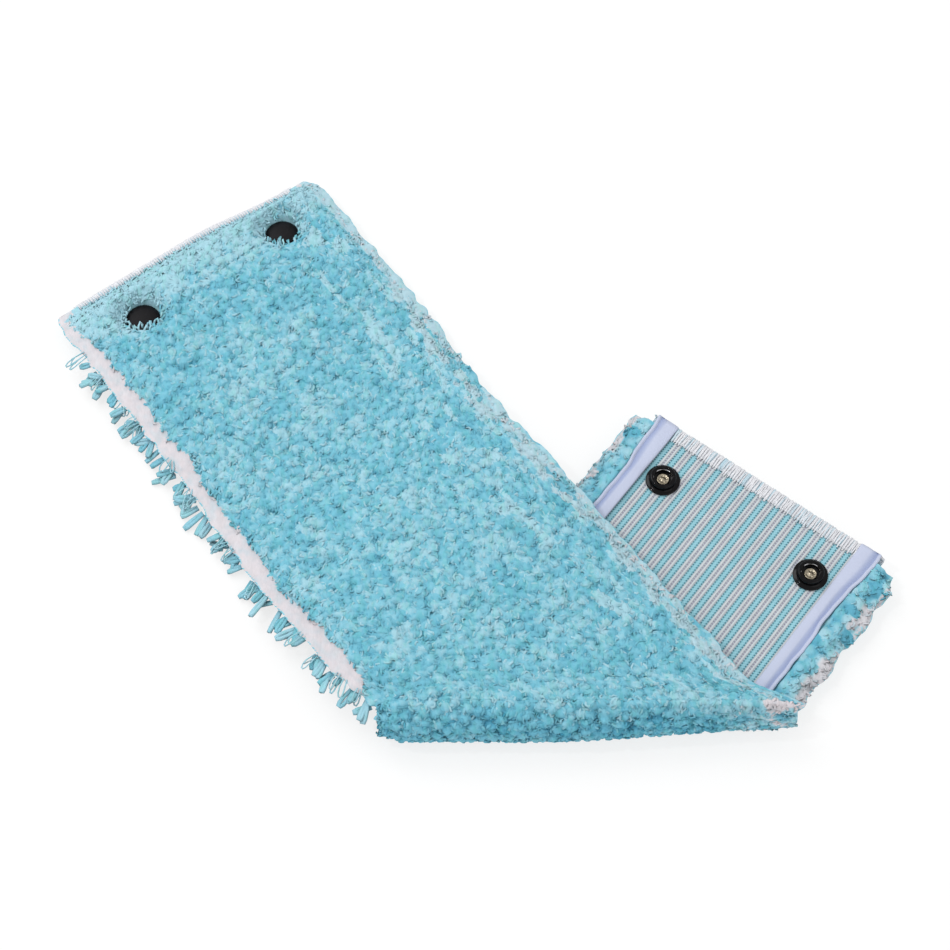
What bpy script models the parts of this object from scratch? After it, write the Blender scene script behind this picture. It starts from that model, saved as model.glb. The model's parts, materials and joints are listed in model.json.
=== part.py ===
"""Washable cover of a flat mop, laid down folded once across a diagonal crease.

The cover is one strip: a striped ground cloth with looped pile on its face, an edge
tape down each long side of its back, an overlocked seam round each end, and four press
studs that button it to the mop's plate.  The short half lies on the floor pile down,
so that its back and two sockets show.  The long half is turned over on top of it, pile
up, and drops from there to the floor.

Everything is first cut flat in the strip's own coordinates:
    s  along the strip, from the crease to the end
    c  across the strip, from its centre line
    n  through the strip, 0 at the cloth's back and positive towards the pile
and is then laid with one of three rules: short half, long half or crease.
The crease runs along X; the whole model is centred over its own footprint at the end.
"""

import math

import bmesh
import bpy
import numpy as np
from mathutils import Matrix, Vector

# ---------------------------------------------------------------- driving dimensions, metres
LONG_HALF = 0.290          # centre line, crease to end
SHORT_HALF = 0.130
CLOTH_WIDTH = 0.116        # over both edge tapes
PILE_WIDTH = 0.136         # over the loops that stand out past the cloth
STRIP_TO_CREASE = math.radians(53.0)

CLOTH = 0.0015             # thickness of the ground cloth
PILE_HEIGHT = 0.0097       # loops, over the cloth
TAPE_WIDTH = 0.012
TAPE = 0.0013
GAP = 0.0003               # left between pieces that touch
CLEAR = 0.00015            # and a little more under the tapes
SPLIT = 0.00025            # each half keeps this from the crease plane

SEAM_BACK = 0.0058         # overlock, on the back
SEAM_FACE = 0.0030         # overlock, on the pile side
SEAM = 0.0006              # thickness of its thread

STUD_FROM_END = 0.024
STUD_SPACING = 0.074
CAP_RADIUS = 0.0075
SOCKET_RADIUS = 0.0073
POST_RADIUS = 0.0021

DROP_REACH = 0.095         # the long half comes down to the floor over this distance
RISE_START = 0.185         # and lifts again over its own sockets, from here
RISE_END = 0.245

# ---------------------------------------------------------------- heights that follow
PILE_TOP_N = CLOTH + GAP + PILE_HEIGHT
BEND_RADIUS = TAPE + GAP + CLEAR
SHORT_BACK_Z = PILE_TOP_N
CREASE_Z = SHORT_BACK_Z + BEND_RADIUS
LONG_BACK_Z = CREASE_Z + BEND_RADIUS
COLLAR_N = -0.0040         # mouth of a socket
LOW_BACK_Z = TAPE + GAP + CLEAR
END_BACK_Z = -COLLAR_N + 0.0001

COS, SIN = math.cos(STRIP_TO_CREASE), math.sin(STRIP_TO_CREASE)
ALONG = {"long": (-COS, SIN), "short": (COS, SIN)}
ACROSS = {"long": (SIN, COS), "short": (SIN, -COS)}
SIDES = {"left": -1, "right": 1}
END_AT = {"long": LONG_HALF, "short": SHORT_HALF}


# ---------------------------------------------------------------- laying the flat strip
def smooth_step(t):
    """0 below 0, 1 above 1, and a smooth cubic between."""
    t = np.clip(t, 0.0, 1.0)
    return t * t * (3.0 - 2.0 * t)


def plan(half, s, c):
    """Plan position of a point of the strip: s along the half plus c across it."""
    (ax, ay), (cx, cy) = ALONG[half], ACROSS[half]
    return s * ax + c * cx, s * ay + c * cy


def long_back_height(s, c):
    """Height of the long half's back: on the short half, down to the floor, up on its sockets."""
    past_edge = s * 2 * SIN * COS + c * (COS * COS - SIN * SIN) - PILE_WIDTH / 2
    on_short = 1.0 - smooth_step(past_edge / DROP_REACH)
    on_sockets = smooth_step((s - RISE_START) / (RISE_END - RISE_START))
    return (LOW_BACK_Z + (LONG_BACK_Z - LOW_BACK_Z) * on_short
            + (END_BACK_Z - LOW_BACK_Z) * on_sockets)


def lay_long(s, c, n):
    """The back follows long_back_height, and n is laid off square to it, upwards."""
    step = 1e-4
    x, y = plan("long", s, c)
    rise_s = (long_back_height(s + step, c) - long_back_height(s - step, c)) / (2 * step)
    rise_c = (long_back_height(s, c + step) - long_back_height(s, c - step)) / (2 * step)
    (ax, ay), (cx, cy) = ALONG["long"], ACROSS["long"]
    nx, ny, nz = -(rise_s * ax + rise_c * cx), -(rise_s * ay + rise_c * cy), 1.0
    size = np.sqrt(nx * nx + ny * ny + nz * nz)
    return x + n * nx / size, y + n * ny / size, long_back_height(s, c) + n * nz / size


def lay_short(s, c, n):
    """Flat on the floor, back up, so n is laid off downwards."""
    x, y = plan("short", s, c)
    return x, y, SHORT_BACK_Z - n


def lay_crease(s, c, n):
    """Round the crease: s turns from 0 at the short half to 1 at the long half, c runs along X."""
    turn, radius = math.pi * s, BEND_RADIUS + n
    return c, -SPLIT - radius * np.sin(turn), CREASE_Z - radius * np.cos(turn)


LAY = {"long": lay_long, "short": lay_short, "crease": lay_crease}


def crease_start(half, c):
    """Where the strip leaves the crease at a distance c across it, cut square to the floor."""
    if half == "crease":
        return 0.0
    (_, ay), (_, cy) = ALONG[half], ACROSS[half]
    return (SPLIT - c * cy) / ay


# ---------------------------------------------------------------- objects and materials
def clear_scene():
    for obj in list(bpy.data.objects):
        bpy.data.objects.remove(obj, do_unlink=True)


def new_collection(name):
    collection = bpy.data.collections.new(name)
    bpy.context.scene.collection.children.link(collection)
    return collection


def finish(name, colour, roughness, metallic=0.0):
    """A plain Principled material with the part's colour, roughness and metallic value."""
    material = bpy.data.materials.new(name)
    material.use_nodes = True
    shader = material.node_tree.nodes["Principled BSDF"]
    shader.inputs["Base Color"].default_value = (*colour, 1.0)
    shader.inputs["Roughness"].default_value = roughness
    shader.inputs["Metallic"].default_value = metallic
    material.diffuse_color = (*colour, 1.0)
    return material


def add_object(name, data, collection, material=None, parent=None):
    obj = bpy.data.objects.new(name, data)
    collection.objects.link(obj)
    if material:
        data.materials.append(material)
    obj.parent = parent
    return obj


def add_cutter(name, data, parent=None):
    """A cutter is only ever seen as wire."""
    obj = add_object(name, data, CUTTERS, parent=parent)
    obj.hide_render = True
    obj.display_type = "WIRE"
    return obj


def cut(target, cutter):
    modifier = target.modifiers.new("cut_" + cutter.name, "BOOLEAN")
    modifier.operation = "DIFFERENCE"
    modifier.solver = "EXACT"
    modifier.object = cutter


def smooth(mesh, degrees=40.0):
    mesh.shade_smooth()
    mesh.set_sharp_from_angle(angle=math.radians(degrees))


# ---------------------------------------------------------------- layers of the strip
def mesh_from(bm, name):
    mesh = bpy.data.meshes.new(name)
    bm.to_mesh(mesh)
    bm.free()
    return mesh


def lay_flat_mesh(bm, half):
    """Move a mesh drawn as (c, s, n) to where it lies, with its faces pointing out."""
    flat = np.array([v.co for v in bm.verts])
    laid = np.stack(LAY[half](flat[:, 1], flat[:, 0], flat[:, 2]), axis=1)
    for vert, place in zip(bm.verts, laid):
        vert.co = place
    bmesh.ops.recalc_face_normals(bm, faces=bm.faces[:])
    if bm.calc_volume(signed=True) < 0:
        bmesh.ops.reverse_faces(bm, faces=bm.faces[:])


def layer_mesh(name, half, c_span, s_end, n_span, cells, face_round=0.0, back_round=0.0, s_start=None):
    """One layer, cut flat with its crease end on the diagonal, its rims rounded, then laid."""
    bm = bmesh.new()
    bmesh.ops.create_grid(bm, x_segments=cells[0], y_segments=cells[1], size=1.0)
    c_low, c_high = c_span
    n_low, n_high = n_span
    for vert in bm.verts:
        c = c_low + (c_high - c_low) * (vert.co.x + 1.0) / 2.0
        start = crease_start(half, c) if s_start is None else s_start
        s = start + (s_end - start) * (vert.co.y + 1.0) / 2.0
        vert.co = (c, s, n_low)
    grown = bmesh.ops.extrude_face_region(bm, geom=bm.faces[:])["geom"]
    for vert in (g for g in grown if isinstance(g, bmesh.types.BMVert)):
        vert.co.z = n_high

    def on_rim(edge, level):
        """Both ends at this level, and on one long side or on the far end."""
        ends = [v.co for v in edge.verts]
        if any(abs(p.z - level) > 1e-7 for p in ends):
            return False
        if any(all(abs(p.x - side) < 1e-7 for p in ends) for side in c_span):
            return True
        return half != "crease" and all(abs(p.y - s_end) < 1e-7 for p in ends)

    for level, width in ((n_high, face_round), (n_low, back_round)):
        if width:
            rim = [e for e in bm.edges if on_rim(e, level)]
            bmesh.ops.bevel(bm, geom=rim, offset=width, segments=2, profile=0.5, affect="EDGES")

    lay_flat_mesh(bm, half)
    mesh = mesh_from(bm, name)
    smooth(mesh)
    return mesh


def crease_span(width_low, width_high):
    """The stretch of the crease between two distances across the strip."""
    return width_low / SIN, width_high / SIN


def make_pile():
    """The looped face, one cushion of loops a half and a rounded one over the crease."""
    side = PILE_WIDTH / 2
    levels = (CLOTH + GAP, PILE_TOP_N)
    made = {}
    for half, cells in (("long", (8, 22)), ("short", (8, 10))):
        end = END_AT[half] - SEAM_FACE - GAP
        mesh = layer_mesh(f"pile_{half}", half, (-side, side), end, levels, cells, 0.0035, 0.0015)
        made[half] = add_object(f"pile_{half}_half", mesh, PARTS, PILE_FINISH, ROOT)
    mesh = layer_mesh("pile_crease", "crease", crease_span(-side, side), 1.0,
                      (levels[0], levels[1] - GAP), (8, 10), 0.0035)
    made["crease"] = add_object("pile_crease", mesh, PARTS, PILE_FINISH, ROOT)
    return made


def make_ground_cloth():
    """The woven backing that carries the loops."""
    side = CLOTH_WIDTH / 2 - GAP
    made = {}
    for half, cells in (("long", (6, 22)), ("short", (6, 8))):
        mesh = layer_mesh(f"cloth_{half}", half, (-side, side), END_AT[half], (0.0, CLOTH), cells)
        made[half] = add_object(f"ground_cloth_{half}_half", mesh, PARTS, CLOTH_FINISH, ROOT)
    mesh = layer_mesh("cloth_crease", "crease", crease_span(-side, side), 1.0, (0.0, CLOTH), (6, 8))
    made["crease"] = add_object("ground_cloth_crease", mesh, PARTS, CLOTH_FINISH, ROOT)
    return made


def tape_span(side, grow=0.0):
    """An edge tape reaches from the cloth's edge inwards by its own width."""
    outer = side * CLOTH_WIDTH / 2
    inner = side * (CLOTH_WIDTH / 2 - TAPE_WIDTH - grow)
    return (outer, inner) if side < 0 else (inner, outer)


def make_edge_tapes():
    """A folded tape down each long side of the back, over both halves and round the crease."""
    levels = (-GAP - TAPE, -GAP)
    for label, side in SIDES.items():
        for half, cells in (("long", (1, 22)), ("short", (1, 6))):
            mesh = layer_mesh(f"tape_{half}_{label}", half, tape_span(side), END_AT[half] + SEAM,
                              levels, cells, back_round=0.0005)
            add_object(f"edge_tape_{half}_{label}", mesh, PARTS, TAPE_FINISH, ROOT)
        low, high = tape_span(side)
        mesh = layer_mesh(f"tape_crease_{label}", "crease", crease_span(low, high), 1.0, levels, (1, 6))
        add_object(f"edge_tape_crease_{label}", mesh, PARTS, TAPE_FINISH, ROOT)


def make_overlock(half):
    """The seam that binds an end: a channel of thread round the cloth, cut away under the tapes."""
    end = END_AT[half]
    back, face = -GAP, CLOTH + GAP
    outline = [(end - SEAM_BACK, back), (end + GAP, back), (end + GAP, face),
               (end - SEAM_FACE, face), (end - SEAM_FACE, face + SEAM),
               (end + GAP + SEAM, face + SEAM), (end + GAP + SEAM, back - SEAM),
               (end - SEAM_BACK, back - SEAM)]
    half_width, stations = CLOTH_WIDTH / 2 - GAP, 8
    bm = bmesh.new()
    front = bm.faces.new([bm.verts.new((-half_width, s, n)) for s, n in outline])
    for station in range(stations):
        grown = bmesh.ops.extrude_face_region(bm, geom=[front])["geom"]
        if front.is_valid and station > 0:
            bm.faces.remove(front)
        front = next(g for g in grown if isinstance(g, bmesh.types.BMFace))
        for vert in front.verts:
            vert.co.x += 2 * half_width / stations
    lay_flat_mesh(bm, half)
    mesh = mesh_from(bm, f"overlock_{half}")
    smooth(mesh)
    seam = add_object(f"overlock_seam_{half}", mesh, PARTS, THREAD_FINISH, ROOT)
    for label, side in SIDES.items():
        low, high = tape_span(side, GAP)
        grown_low = low - 0.001 if side < 0 else low
        grown_high = high + 0.001 if side > 0 else high
        mesh = layer_mesh(f"tape_room_{half}_{label}", half, (grown_low, grown_high), end + 0.01,
                          (-0.01, -GAP + 0.00005), (1, 1), s_start=end - 0.01)
        cut(seam, add_cutter(f"tape_room_{half}_{label}", mesh, ROOT))


# ---------------------------------------------------------------- press studs
def arc(r, n, radius, start, stop, count):
    """Points of a round corner, angles in degrees from the +r direction."""
    turns = np.radians(np.linspace(start, stop, count))
    return [(r + radius * math.cos(a), n + radius * math.sin(a)) for a in turns]


def add_turned(name, profile, steps, material, parent, closed=False):
    """A profile in (radius, height) turned about local Z, outer side from top to bottom."""
    mesh = bpy.data.meshes.new(name)
    last = len(profile) - 1
    edges = [(i, i + 1) for i in range(last)] + ([(last, 0)] if closed else [])
    mesh.from_pydata([(r, 0.0, n) for r, n in profile], edges, [])
    obj = add_object(name, mesh, PARTS, material, parent)
    screw = obj.modifiers.new("turn", "SCREW")
    screw.axis = "Z"
    screw.angle = 2 * math.pi
    screw.steps = screw.render_steps = steps
    screw.use_merge_vertices = True
    screw.merge_threshold = 0.00001
    screw.use_smooth_shade = True
    return obj


def cap_profile():
    """A pressed dome whose rim is rolled in under the post's head."""
    rim, wall = CLOTH + GAP, 0.0006
    crown, rise = rim + 0.0011, 0.0021
    radii = CAP_RADIUS * np.sin(np.radians(np.linspace(0, 84, 7)))
    outer = [(r, crown + rise * math.sqrt(1 - (r / CAP_RADIUS) ** 2)) for r in radii]
    outer += [(CAP_RADIUS, crown), (CAP_RADIUS, rim + 0.0003), (CAP_RADIUS - 0.0003, rim)]
    inside = CAP_RADIUS - wall
    lip = [(0.0050, rim), (0.0050, rim + 0.0004), (inside - 0.0001, rim + 0.0005), (inside, crown)]
    radii = inside * np.sin(np.radians(np.linspace(66, 0, 4)))
    dome = [(r, crown + (rise - wall) * math.sqrt(1 - (r / inside) ** 2)) for r in radii]
    return outer + lip + dome


def post_profile():
    """The post: a broad head in the cap, a shank through the cloth, and its crimped end."""
    head = CLOTH + GAP + 0.0007
    crimp = -0.0013
    return [(0.0, head + 0.0005), (0.0058, head + 0.0005), (0.0061, head + 0.00025), (0.0058, head),
            (POST_RADIUS, head), (POST_RADIUS, crimp), (0.0025, crimp), (0.0027, crimp - 0.0003),
            (0.0024, crimp - 0.0006), (0.0, crimp - 0.0006)]


def socket_profile():
    """The socket: a flange, a collar with a groove for the spring, and a lip at its mouth."""
    top, flange, edge = -GAP, -0.0012, SOCKET_RADIUS
    outside, groove, lip = 0.0055, 0.0047, 0.0035
    outer = [(edge - 0.0003, top), (edge, top - 0.0003), (edge - 0.0001, top - 0.0006),
             (edge - 0.0006, flange), (outside + 0.0003, flange - 0.0001),
             (outside, flange - 0.0005)]
    outer += arc(outside - 0.0006, COLLAR_N + 0.0006, 0.0006, 0, -90, 4)
    inner = [(lip, COLLAR_N), (lip, COLLAR_N + 0.0006), (groove, COLLAR_N + 0.0009),
             (groove, -0.0012), (groove - 0.0003, -0.0010), (POST_RADIUS + GAP, -0.0010),
             (POST_RADIUS + GAP, top)]
    return outer + inner


def ring_curve(name):
    """The spring: a wire ring, open at one side, loose in the socket's groove."""
    curve = bpy.data.curves.new(name, "CURVE")
    curve.dimensions = "3D"
    curve.bevel_depth = 0.00032
    curve.bevel_resolution = 1
    curve.use_fill_caps = True
    radius, height, points = 0.00415, -0.00275, 25
    turns = np.radians(np.linspace(15, 345, points))
    spline = curve.splines.new("POLY")
    spline.points.add(points - 1)
    for point, a in zip(spline.points, turns):
        point.co = (radius * math.cos(a), radius * math.sin(a), height, 1.0)
    return curve


def hexagon_mesh(name):
    """Cutter for the six-sided mouth of a socket."""
    bm = bmesh.new()
    across_flats = 0.0075
    bmesh.ops.create_cone(bm, cap_ends=True, segments=6, radius1=across_flats / 2 / math.cos(math.pi / 6),
                          radius2=across_flats / 2 / math.cos(math.pi / 6), depth=0.0010,
                          matrix=Matrix.Translation((0, 0, COLLAR_N)))
    return mesh_from(bm, name)


def dimple_mesh(name):
    """Cutter for the four dimples of a crimp."""
    bm = bmesh.new()
    for k in range(4):
        a = math.radians(45 + 90 * k)
        place = Matrix.Translation((0.0016 * math.cos(a), 0.0016 * math.sin(a), -0.0020))
        bmesh.ops.create_cone(bm, cap_ends=True, segments=8, radius1=0.0005, radius2=0.0005,
                              depth=0.0008, matrix=place)
    return mesh_from(bm, name)


def hole_mesh(name, radius, low, high, segments):
    """Cutter for a round hole through a layer."""
    bm = bmesh.new()
    bmesh.ops.create_cone(bm, cap_ends=True, segments=segments, radius1=radius, radius2=radius,
                          depth=high - low, matrix=Matrix.Translation((0, 0, (low + high) / 2)))
    return mesh_from(bm, name)


def make_press_studs(pile, cloth):
    """Two studs near each end, each a cap, a post, a socket and its ring spring."""
    hexagon, dimples = hexagon_mesh("socket_mouth"), dimple_mesh("crimp_dimples")
    pile_hole = hole_mesh("pile_hole", CAP_RADIUS + 0.0005, 0.0005, 0.015, 24)
    cloth_hole = hole_mesh("cloth_hole", POST_RADIUS + GAP, -0.001, 0.0016, 12)
    for half in ("long", "short"):
        for label, side in SIDES.items():
            tag = f"{half}_{label}"
            s, c = END_AT[half] - STUD_FROM_END, side * STUD_SPACING / 2
            x, y, z = LAY[half](np.array([s]), np.array([c]), np.array([0.0]))
            seat = add_object(f"seat_{tag}", None, PARTS, parent=ROOT)
            seat.location = (x[0], y[0], z[0])
            if half == "short":
                seat.rotation_euler = (math.pi, 0.0, 0.0)
            add_turned(f"stud_cap_{tag}", cap_profile(), 24, BLACK_FINISH, seat)
            post = add_turned(f"stud_post_{tag}", post_profile(), 16, BRASS_FINISH, seat)
            cut(post, add_cutter(f"crimp_dimples_{tag}", dimples, seat))
            socket = add_turned(f"stud_socket_{tag}", socket_profile(), 24, BLACK_FINISH, seat, closed=True)
            cut(socket, add_cutter(f"socket_mouth_{tag}", hexagon, seat))
            add_object(f"stud_spring_{tag}", ring_curve(f"spring_{tag}"), PARTS, STEEL_FINISH, seat)
            cut(pile[half], add_cutter(f"pile_hole_{tag}", pile_hole, seat))
            cut(cloth[half], add_cutter(f"cloth_hole_{tag}", cloth_hole, seat))


# ---------------------------------------------------------------- the whole cover
def centre_over_footprint():
    """Move the model so that its origin is under the middle of its own box, at floor level."""
    bpy.context.view_layer.update()
    graph = bpy.context.evaluated_depsgraph_get()
    corners = []
    for obj in PARTS.objects:
        if obj.type == "EMPTY":
            continue
        seen = obj.evaluated_get(graph)
        mesh = seen.to_mesh()
        points = np.empty(len(mesh.vertices) * 3, dtype=np.float32)
        mesh.vertices.foreach_get("co", points)
        world = np.array(obj.matrix_world)
        points = points.reshape(-1, 3) @ world[:3, :3].T + world[:3, 3]
        corners += [points.min(axis=0), points.max(axis=0)]
        seen.to_mesh_clear()
    low, high = np.min(corners, axis=0), np.max(corners, axis=0)
    ROOT.location = (-(low[0] + high[0]) / 2, -(low[1] + high[1]) / 2, -low[2])
    bpy.context.view_layer.update()
    print("size mm", np.round((high - low) * 1000, 2))


def report_places():
    """The places that a user of the model needs: the crease, the rest face and the four seats."""
    shift = ROOT.location
    print("crease axis through", [round(v, 6) for v in (shift + Vector((0.0, 0.0, CREASE_Z)))])
    for obj in PARTS.objects:
        if obj.name.startswith("seat_"):
            n = Vector((0.0, 0.0, -0.0019))
            print(obj.name, [round(v, 6) for v in obj.matrix_world @ n])
    x, y = plan("short", 0.065, 0.0)
    print("rest face", [round(v, 6) for v in (shift + Vector((x, y, 0.0)))])


clear_scene()
PARTS = new_collection("flat_mop_cover")
CUTTERS = new_collection("cutters")
PILE_FINISH = finish("microfibre_pile", (0.22, 0.51, 0.62), 0.95)
CLOTH_FINISH = finish("striped_ground_cloth", (0.37, 0.48, 0.53), 0.9)
TAPE_FINISH = finish("edge_tape", (0.56, 0.60, 0.76), 0.75)
THREAD_FINISH = finish("overlock_thread", (0.70, 0.72, 0.75), 0.85)
BLACK_FINISH = finish("black_enamel", (0.012, 0.012, 0.014), 0.25)
BRASS_FINISH = finish("pale_brass", (0.56, 0.48, 0.37), 0.3, 1.0)
STEEL_FINISH = finish("spring_steel", (0.45, 0.45, 0.46), 0.3, 1.0)
ROOT = add_object("cover_on_floor", None, PARTS)

pile_layers = make_pile()
cloth_layers = make_ground_cloth()
make_edge_tapes()
make_overlock("long")
make_overlock("short")
make_press_studs(pile_layers, cloth_layers)
centre_over_footprint()
report_places()
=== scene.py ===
# %% [markdown]
# # A washable mop cover of looped microfibre, folded over and laid on a floor
# The cover is one long strip: a striped ground cloth, a deep pile of yarn loops on its face, pale
# tapes down its two long edges, an overlock seam over each end and two black press studs near
# each end. In this picture its long half lies face up and its short half face down, so that the
# fold shows both sides. The solids that move and collide come from the frame. This file dresses
# them: each layer is a surface worked out with numpy and laid over the strip by the same few
# formulas, so the pile, the cloth and the seams always follow one another.

# %% The frame
import json
import math

import bmesh
import bpy
import numpy as np
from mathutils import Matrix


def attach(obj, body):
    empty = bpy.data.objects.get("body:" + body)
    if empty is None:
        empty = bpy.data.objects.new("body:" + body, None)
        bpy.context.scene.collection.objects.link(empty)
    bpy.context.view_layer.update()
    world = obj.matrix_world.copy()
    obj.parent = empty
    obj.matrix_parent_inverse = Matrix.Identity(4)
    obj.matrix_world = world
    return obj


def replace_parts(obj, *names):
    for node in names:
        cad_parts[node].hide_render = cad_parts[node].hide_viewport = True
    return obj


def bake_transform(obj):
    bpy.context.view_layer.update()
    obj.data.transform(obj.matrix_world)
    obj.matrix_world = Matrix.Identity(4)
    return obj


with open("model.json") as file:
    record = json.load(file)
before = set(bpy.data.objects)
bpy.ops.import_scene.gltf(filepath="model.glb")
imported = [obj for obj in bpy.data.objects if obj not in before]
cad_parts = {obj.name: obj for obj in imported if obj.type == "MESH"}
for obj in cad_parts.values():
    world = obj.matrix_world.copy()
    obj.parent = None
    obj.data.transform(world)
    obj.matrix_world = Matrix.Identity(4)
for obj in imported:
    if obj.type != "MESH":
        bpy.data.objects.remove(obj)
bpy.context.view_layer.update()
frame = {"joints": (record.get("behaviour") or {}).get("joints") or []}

FOLD = next(joint for joint in frame["joints"] if joint["name"] == "pad_fold")
FOLD_X, FOLD_Y, FOLD_Z = FOLD["pos_m"]

# %% [markdown]
# ## How the strip lies
# A point of the strip has three plain measures, in metres: s along it from the fold, c across it
# from its middle, and n through it from the back of the cloth towards the pile. Every layer is
# drawn in these measures and then laid: the long half falls from the top of the short half to
# the floor and rises again on its studs, the short half is flat, and the fold is a half turn.
# A sheet could also be draped by a cloth simulation, but it would never land twice on the solids
# that carry the joint, so the same formulas as the solids' are used here.

# %% The strip's sizes
LONG_HALF, SHORT_HALF = 0.290, 0.130
CLOTH_WIDTH, PILE_WIDTH = 0.116, 0.136
CLOTH, GAP, PILE_HEIGHT = 0.0015, 0.0003, 0.0097
TAPE_WIDTH, TAPE = 0.012, 0.0013
TAPE_INNER_EDGE = CLOTH_WIDTH / 2 - TAPE_WIDTH
SEAM_FACE = 0.0030
STUD_FROM_END, STUD_SPACING = 0.024, 0.074
CAP_RADIUS, SOCKET_RADIUS, POST_RADIUS = 0.0075, 0.0073, 0.0021
SPLIT = 0.00025
DROP_REACH, RISE_START, RISE_END = 0.095, 0.185, 0.245
PILE_FOOT = CLOTH + GAP
PILE_TOP = PILE_FOOT + PILE_HEIGHT
BEND_RADIUS = TAPE + GAP + 0.00015
SHORT_BACK_Z = PILE_TOP
CREASE_Z = SHORT_BACK_Z + BEND_RADIUS
LONG_BACK_Z = CREASE_Z + BEND_RADIUS
COLLAR = -0.0040
LOW_BACK_Z, END_BACK_Z = BEND_RADIUS, -COLLAR + 0.0001
STRIP_TO_CREASE = math.radians(53.0)
COS, SIN = math.cos(STRIP_TO_CREASE), math.sin(STRIP_TO_CREASE)
SIDES = {"left": -1, "right": 1}
END_AT = {"long": LONG_HALF, "short": SHORT_HALF}
ALONG = {"long": (-COS, SIN), "short": (COS, SIN)}
ACROSS = {"long": (SIN, COS), "short": (SIN, -COS)}
BODY = {"long": "long_half", "short": "short_half"}
PILE_ROUND_FOLD = 0.0115
print("fold axis at", FOLD["pos_m"], "crease height", CREASE_Z)

# %% Laying points on the floor
# No point of a half passes the fold's line, so that the halves stay apart when the cover opens.
CREASE_GAP = 0.00006
# How far the soft long half has slid to the left near the fold, how much further its right edge
# has, how far that edge is drawn in all along, and how far the seamed end is drawn back.
SLID_LEFT, SLID_MORE, EDGE_DRAWN_IN, END_DRAWN_BACK = 0.0030, 0.0032, 0.0038, 0.0045


def smooth_step(x):
    """0 below 0, 1 above 1, and three x squared less two x cubed between."""
    x = np.clip(x, 0.0, 1.0)
    return x * x * (3.0 - 2.0 * x)


def long_back_height(s, c):
    """Height of the long half's back: on the short half, down to the floor, up on its sockets."""
    past_edge = s * 2 * SIN * COS + c * (COS * COS - SIN * SIN) - PILE_WIDTH / 2
    on_short = 1.0 - smooth_step(past_edge / DROP_REACH)
    on_sockets = smooth_step((s - RISE_START) / (RISE_END - RISE_START))
    return (LOW_BACK_Z + (LONG_BACK_Z - LOW_BACK_Z) * on_short
            + (END_BACK_Z - LOW_BACK_Z) * on_sockets)


def drift(s, c):
    """How far a place of the long half lies off the straight strip, to the left: by the slide
    near the fold and by the drawn-in right edge, and not at all at the fold itself."""
    past_fold = smooth_step((s * SIN + c * COS) / 0.018)
    slid = SLID_LEFT + SLID_MORE * smooth_step((c + 0.010) / 0.070)
    near_fold = smooth_step((0.200 - s) / 0.080) * slid
    return past_fold * (near_fold + EDGE_DRAWN_IN * smooth_step((c - 0.042) / 0.026))


def drawn_back(s, c):
    """How far the seamed end is drawn back towards its right corner, beyond the studs."""
    to_right = smooth_step((c - 0.002) / 0.050)
    return END_DRAWN_BACK * to_right * smooth_step((s - LONG_HALF + 0.015) / 0.014)


def lay_long(points, free=False):
    """Plan place from s less drawn_back and c less drift, height from long_back_height, and n
    square to that slope, up. Only what hangs free, as the fringe does, may pass the fold."""
    s, c, n = points[..., 0], points[..., 1], points[..., 2]
    s, c = s - drawn_back(s, c), c - drift(s, c)
    step = 1e-4
    rise_s = (long_back_height(s + step, c) - long_back_height(s - step, c)) / (2 * step)
    rise_c = (long_back_height(s, c + step) - long_back_height(s, c - step)) / (2 * step)
    (ax, ay), (cx, cy) = ALONG["long"], ACROSS["long"]
    slope_x, slope_y = rise_s * ax + rise_c * cx, rise_s * ay + rise_c * cy
    up = n / np.sqrt(1.0 + slope_x ** 2 + slope_y ** 2)
    y = FOLD_Y + s * ay + c * cy - up * slope_y
    y = y if free else np.maximum(y, FOLD_Y + CREASE_GAP)
    return np.stack((FOLD_X + s * ax + c * cx - up * slope_x, y, long_back_height(s, c) + up), -1)


def lay_short(points):
    """Plan place from s and c, and n straight down from the flat back."""
    s, c, n = points[..., 0], points[..., 1], points[..., 2]
    (ax, ay), (cx, cy) = ALONG["short"], ACROSS["short"]
    y = np.maximum(FOLD_Y + s * ay + c * cy, FOLD_Y + CREASE_GAP)
    return np.stack((FOLD_X + s * ax + c * cx, y, SHORT_BACK_Z - n), -1)


def lay_fold(points, reach):
    """The long half carried on past the crease and wound round it: the distance beyond the
    crease, over reach, is the turn, and a point stands at the bend radius plus n from the axis."""
    s, c, n = points[..., 0], points[..., 1], points[..., 2]
    (ax, ay), (cx, cy) = ALONG["long"], ACROSS["long"]
    turn = math.pi + (s * ay + c * cy) / reach
    radius = BEND_RADIUS + n
    return np.stack((FOLD_X + s * ax + c * cx, FOLD_Y - SPLIT - radius * np.sin(turn),
                     FOLD_Z - radius * np.cos(turn)), -1)


def crease_start(half, c):
    """Where a half leaves the crease at a distance c across the strip."""
    return (SPLIT - c * ACROSS[half][1]) / ALONG[half][1]


def stud_places(half):
    """The studs of a half: s and c of the left one and of the right one."""
    return [(END_AT[half] - STUD_FROM_END, side * STUD_SPACING / 2) for side in SIDES.values()]


LAY = {"long": lay_long, "short": lay_short}

# %% [markdown]
# ## Meshes from whole arrays
# Each piece is a grid of points or many small tubes, so its faces have four corners and follow
# from counting. The points go into the mesh with foreach_set, which takes an array in one go.
# All pieces are closed, so the sign of the volume tells whether the faces point outwards.

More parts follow.
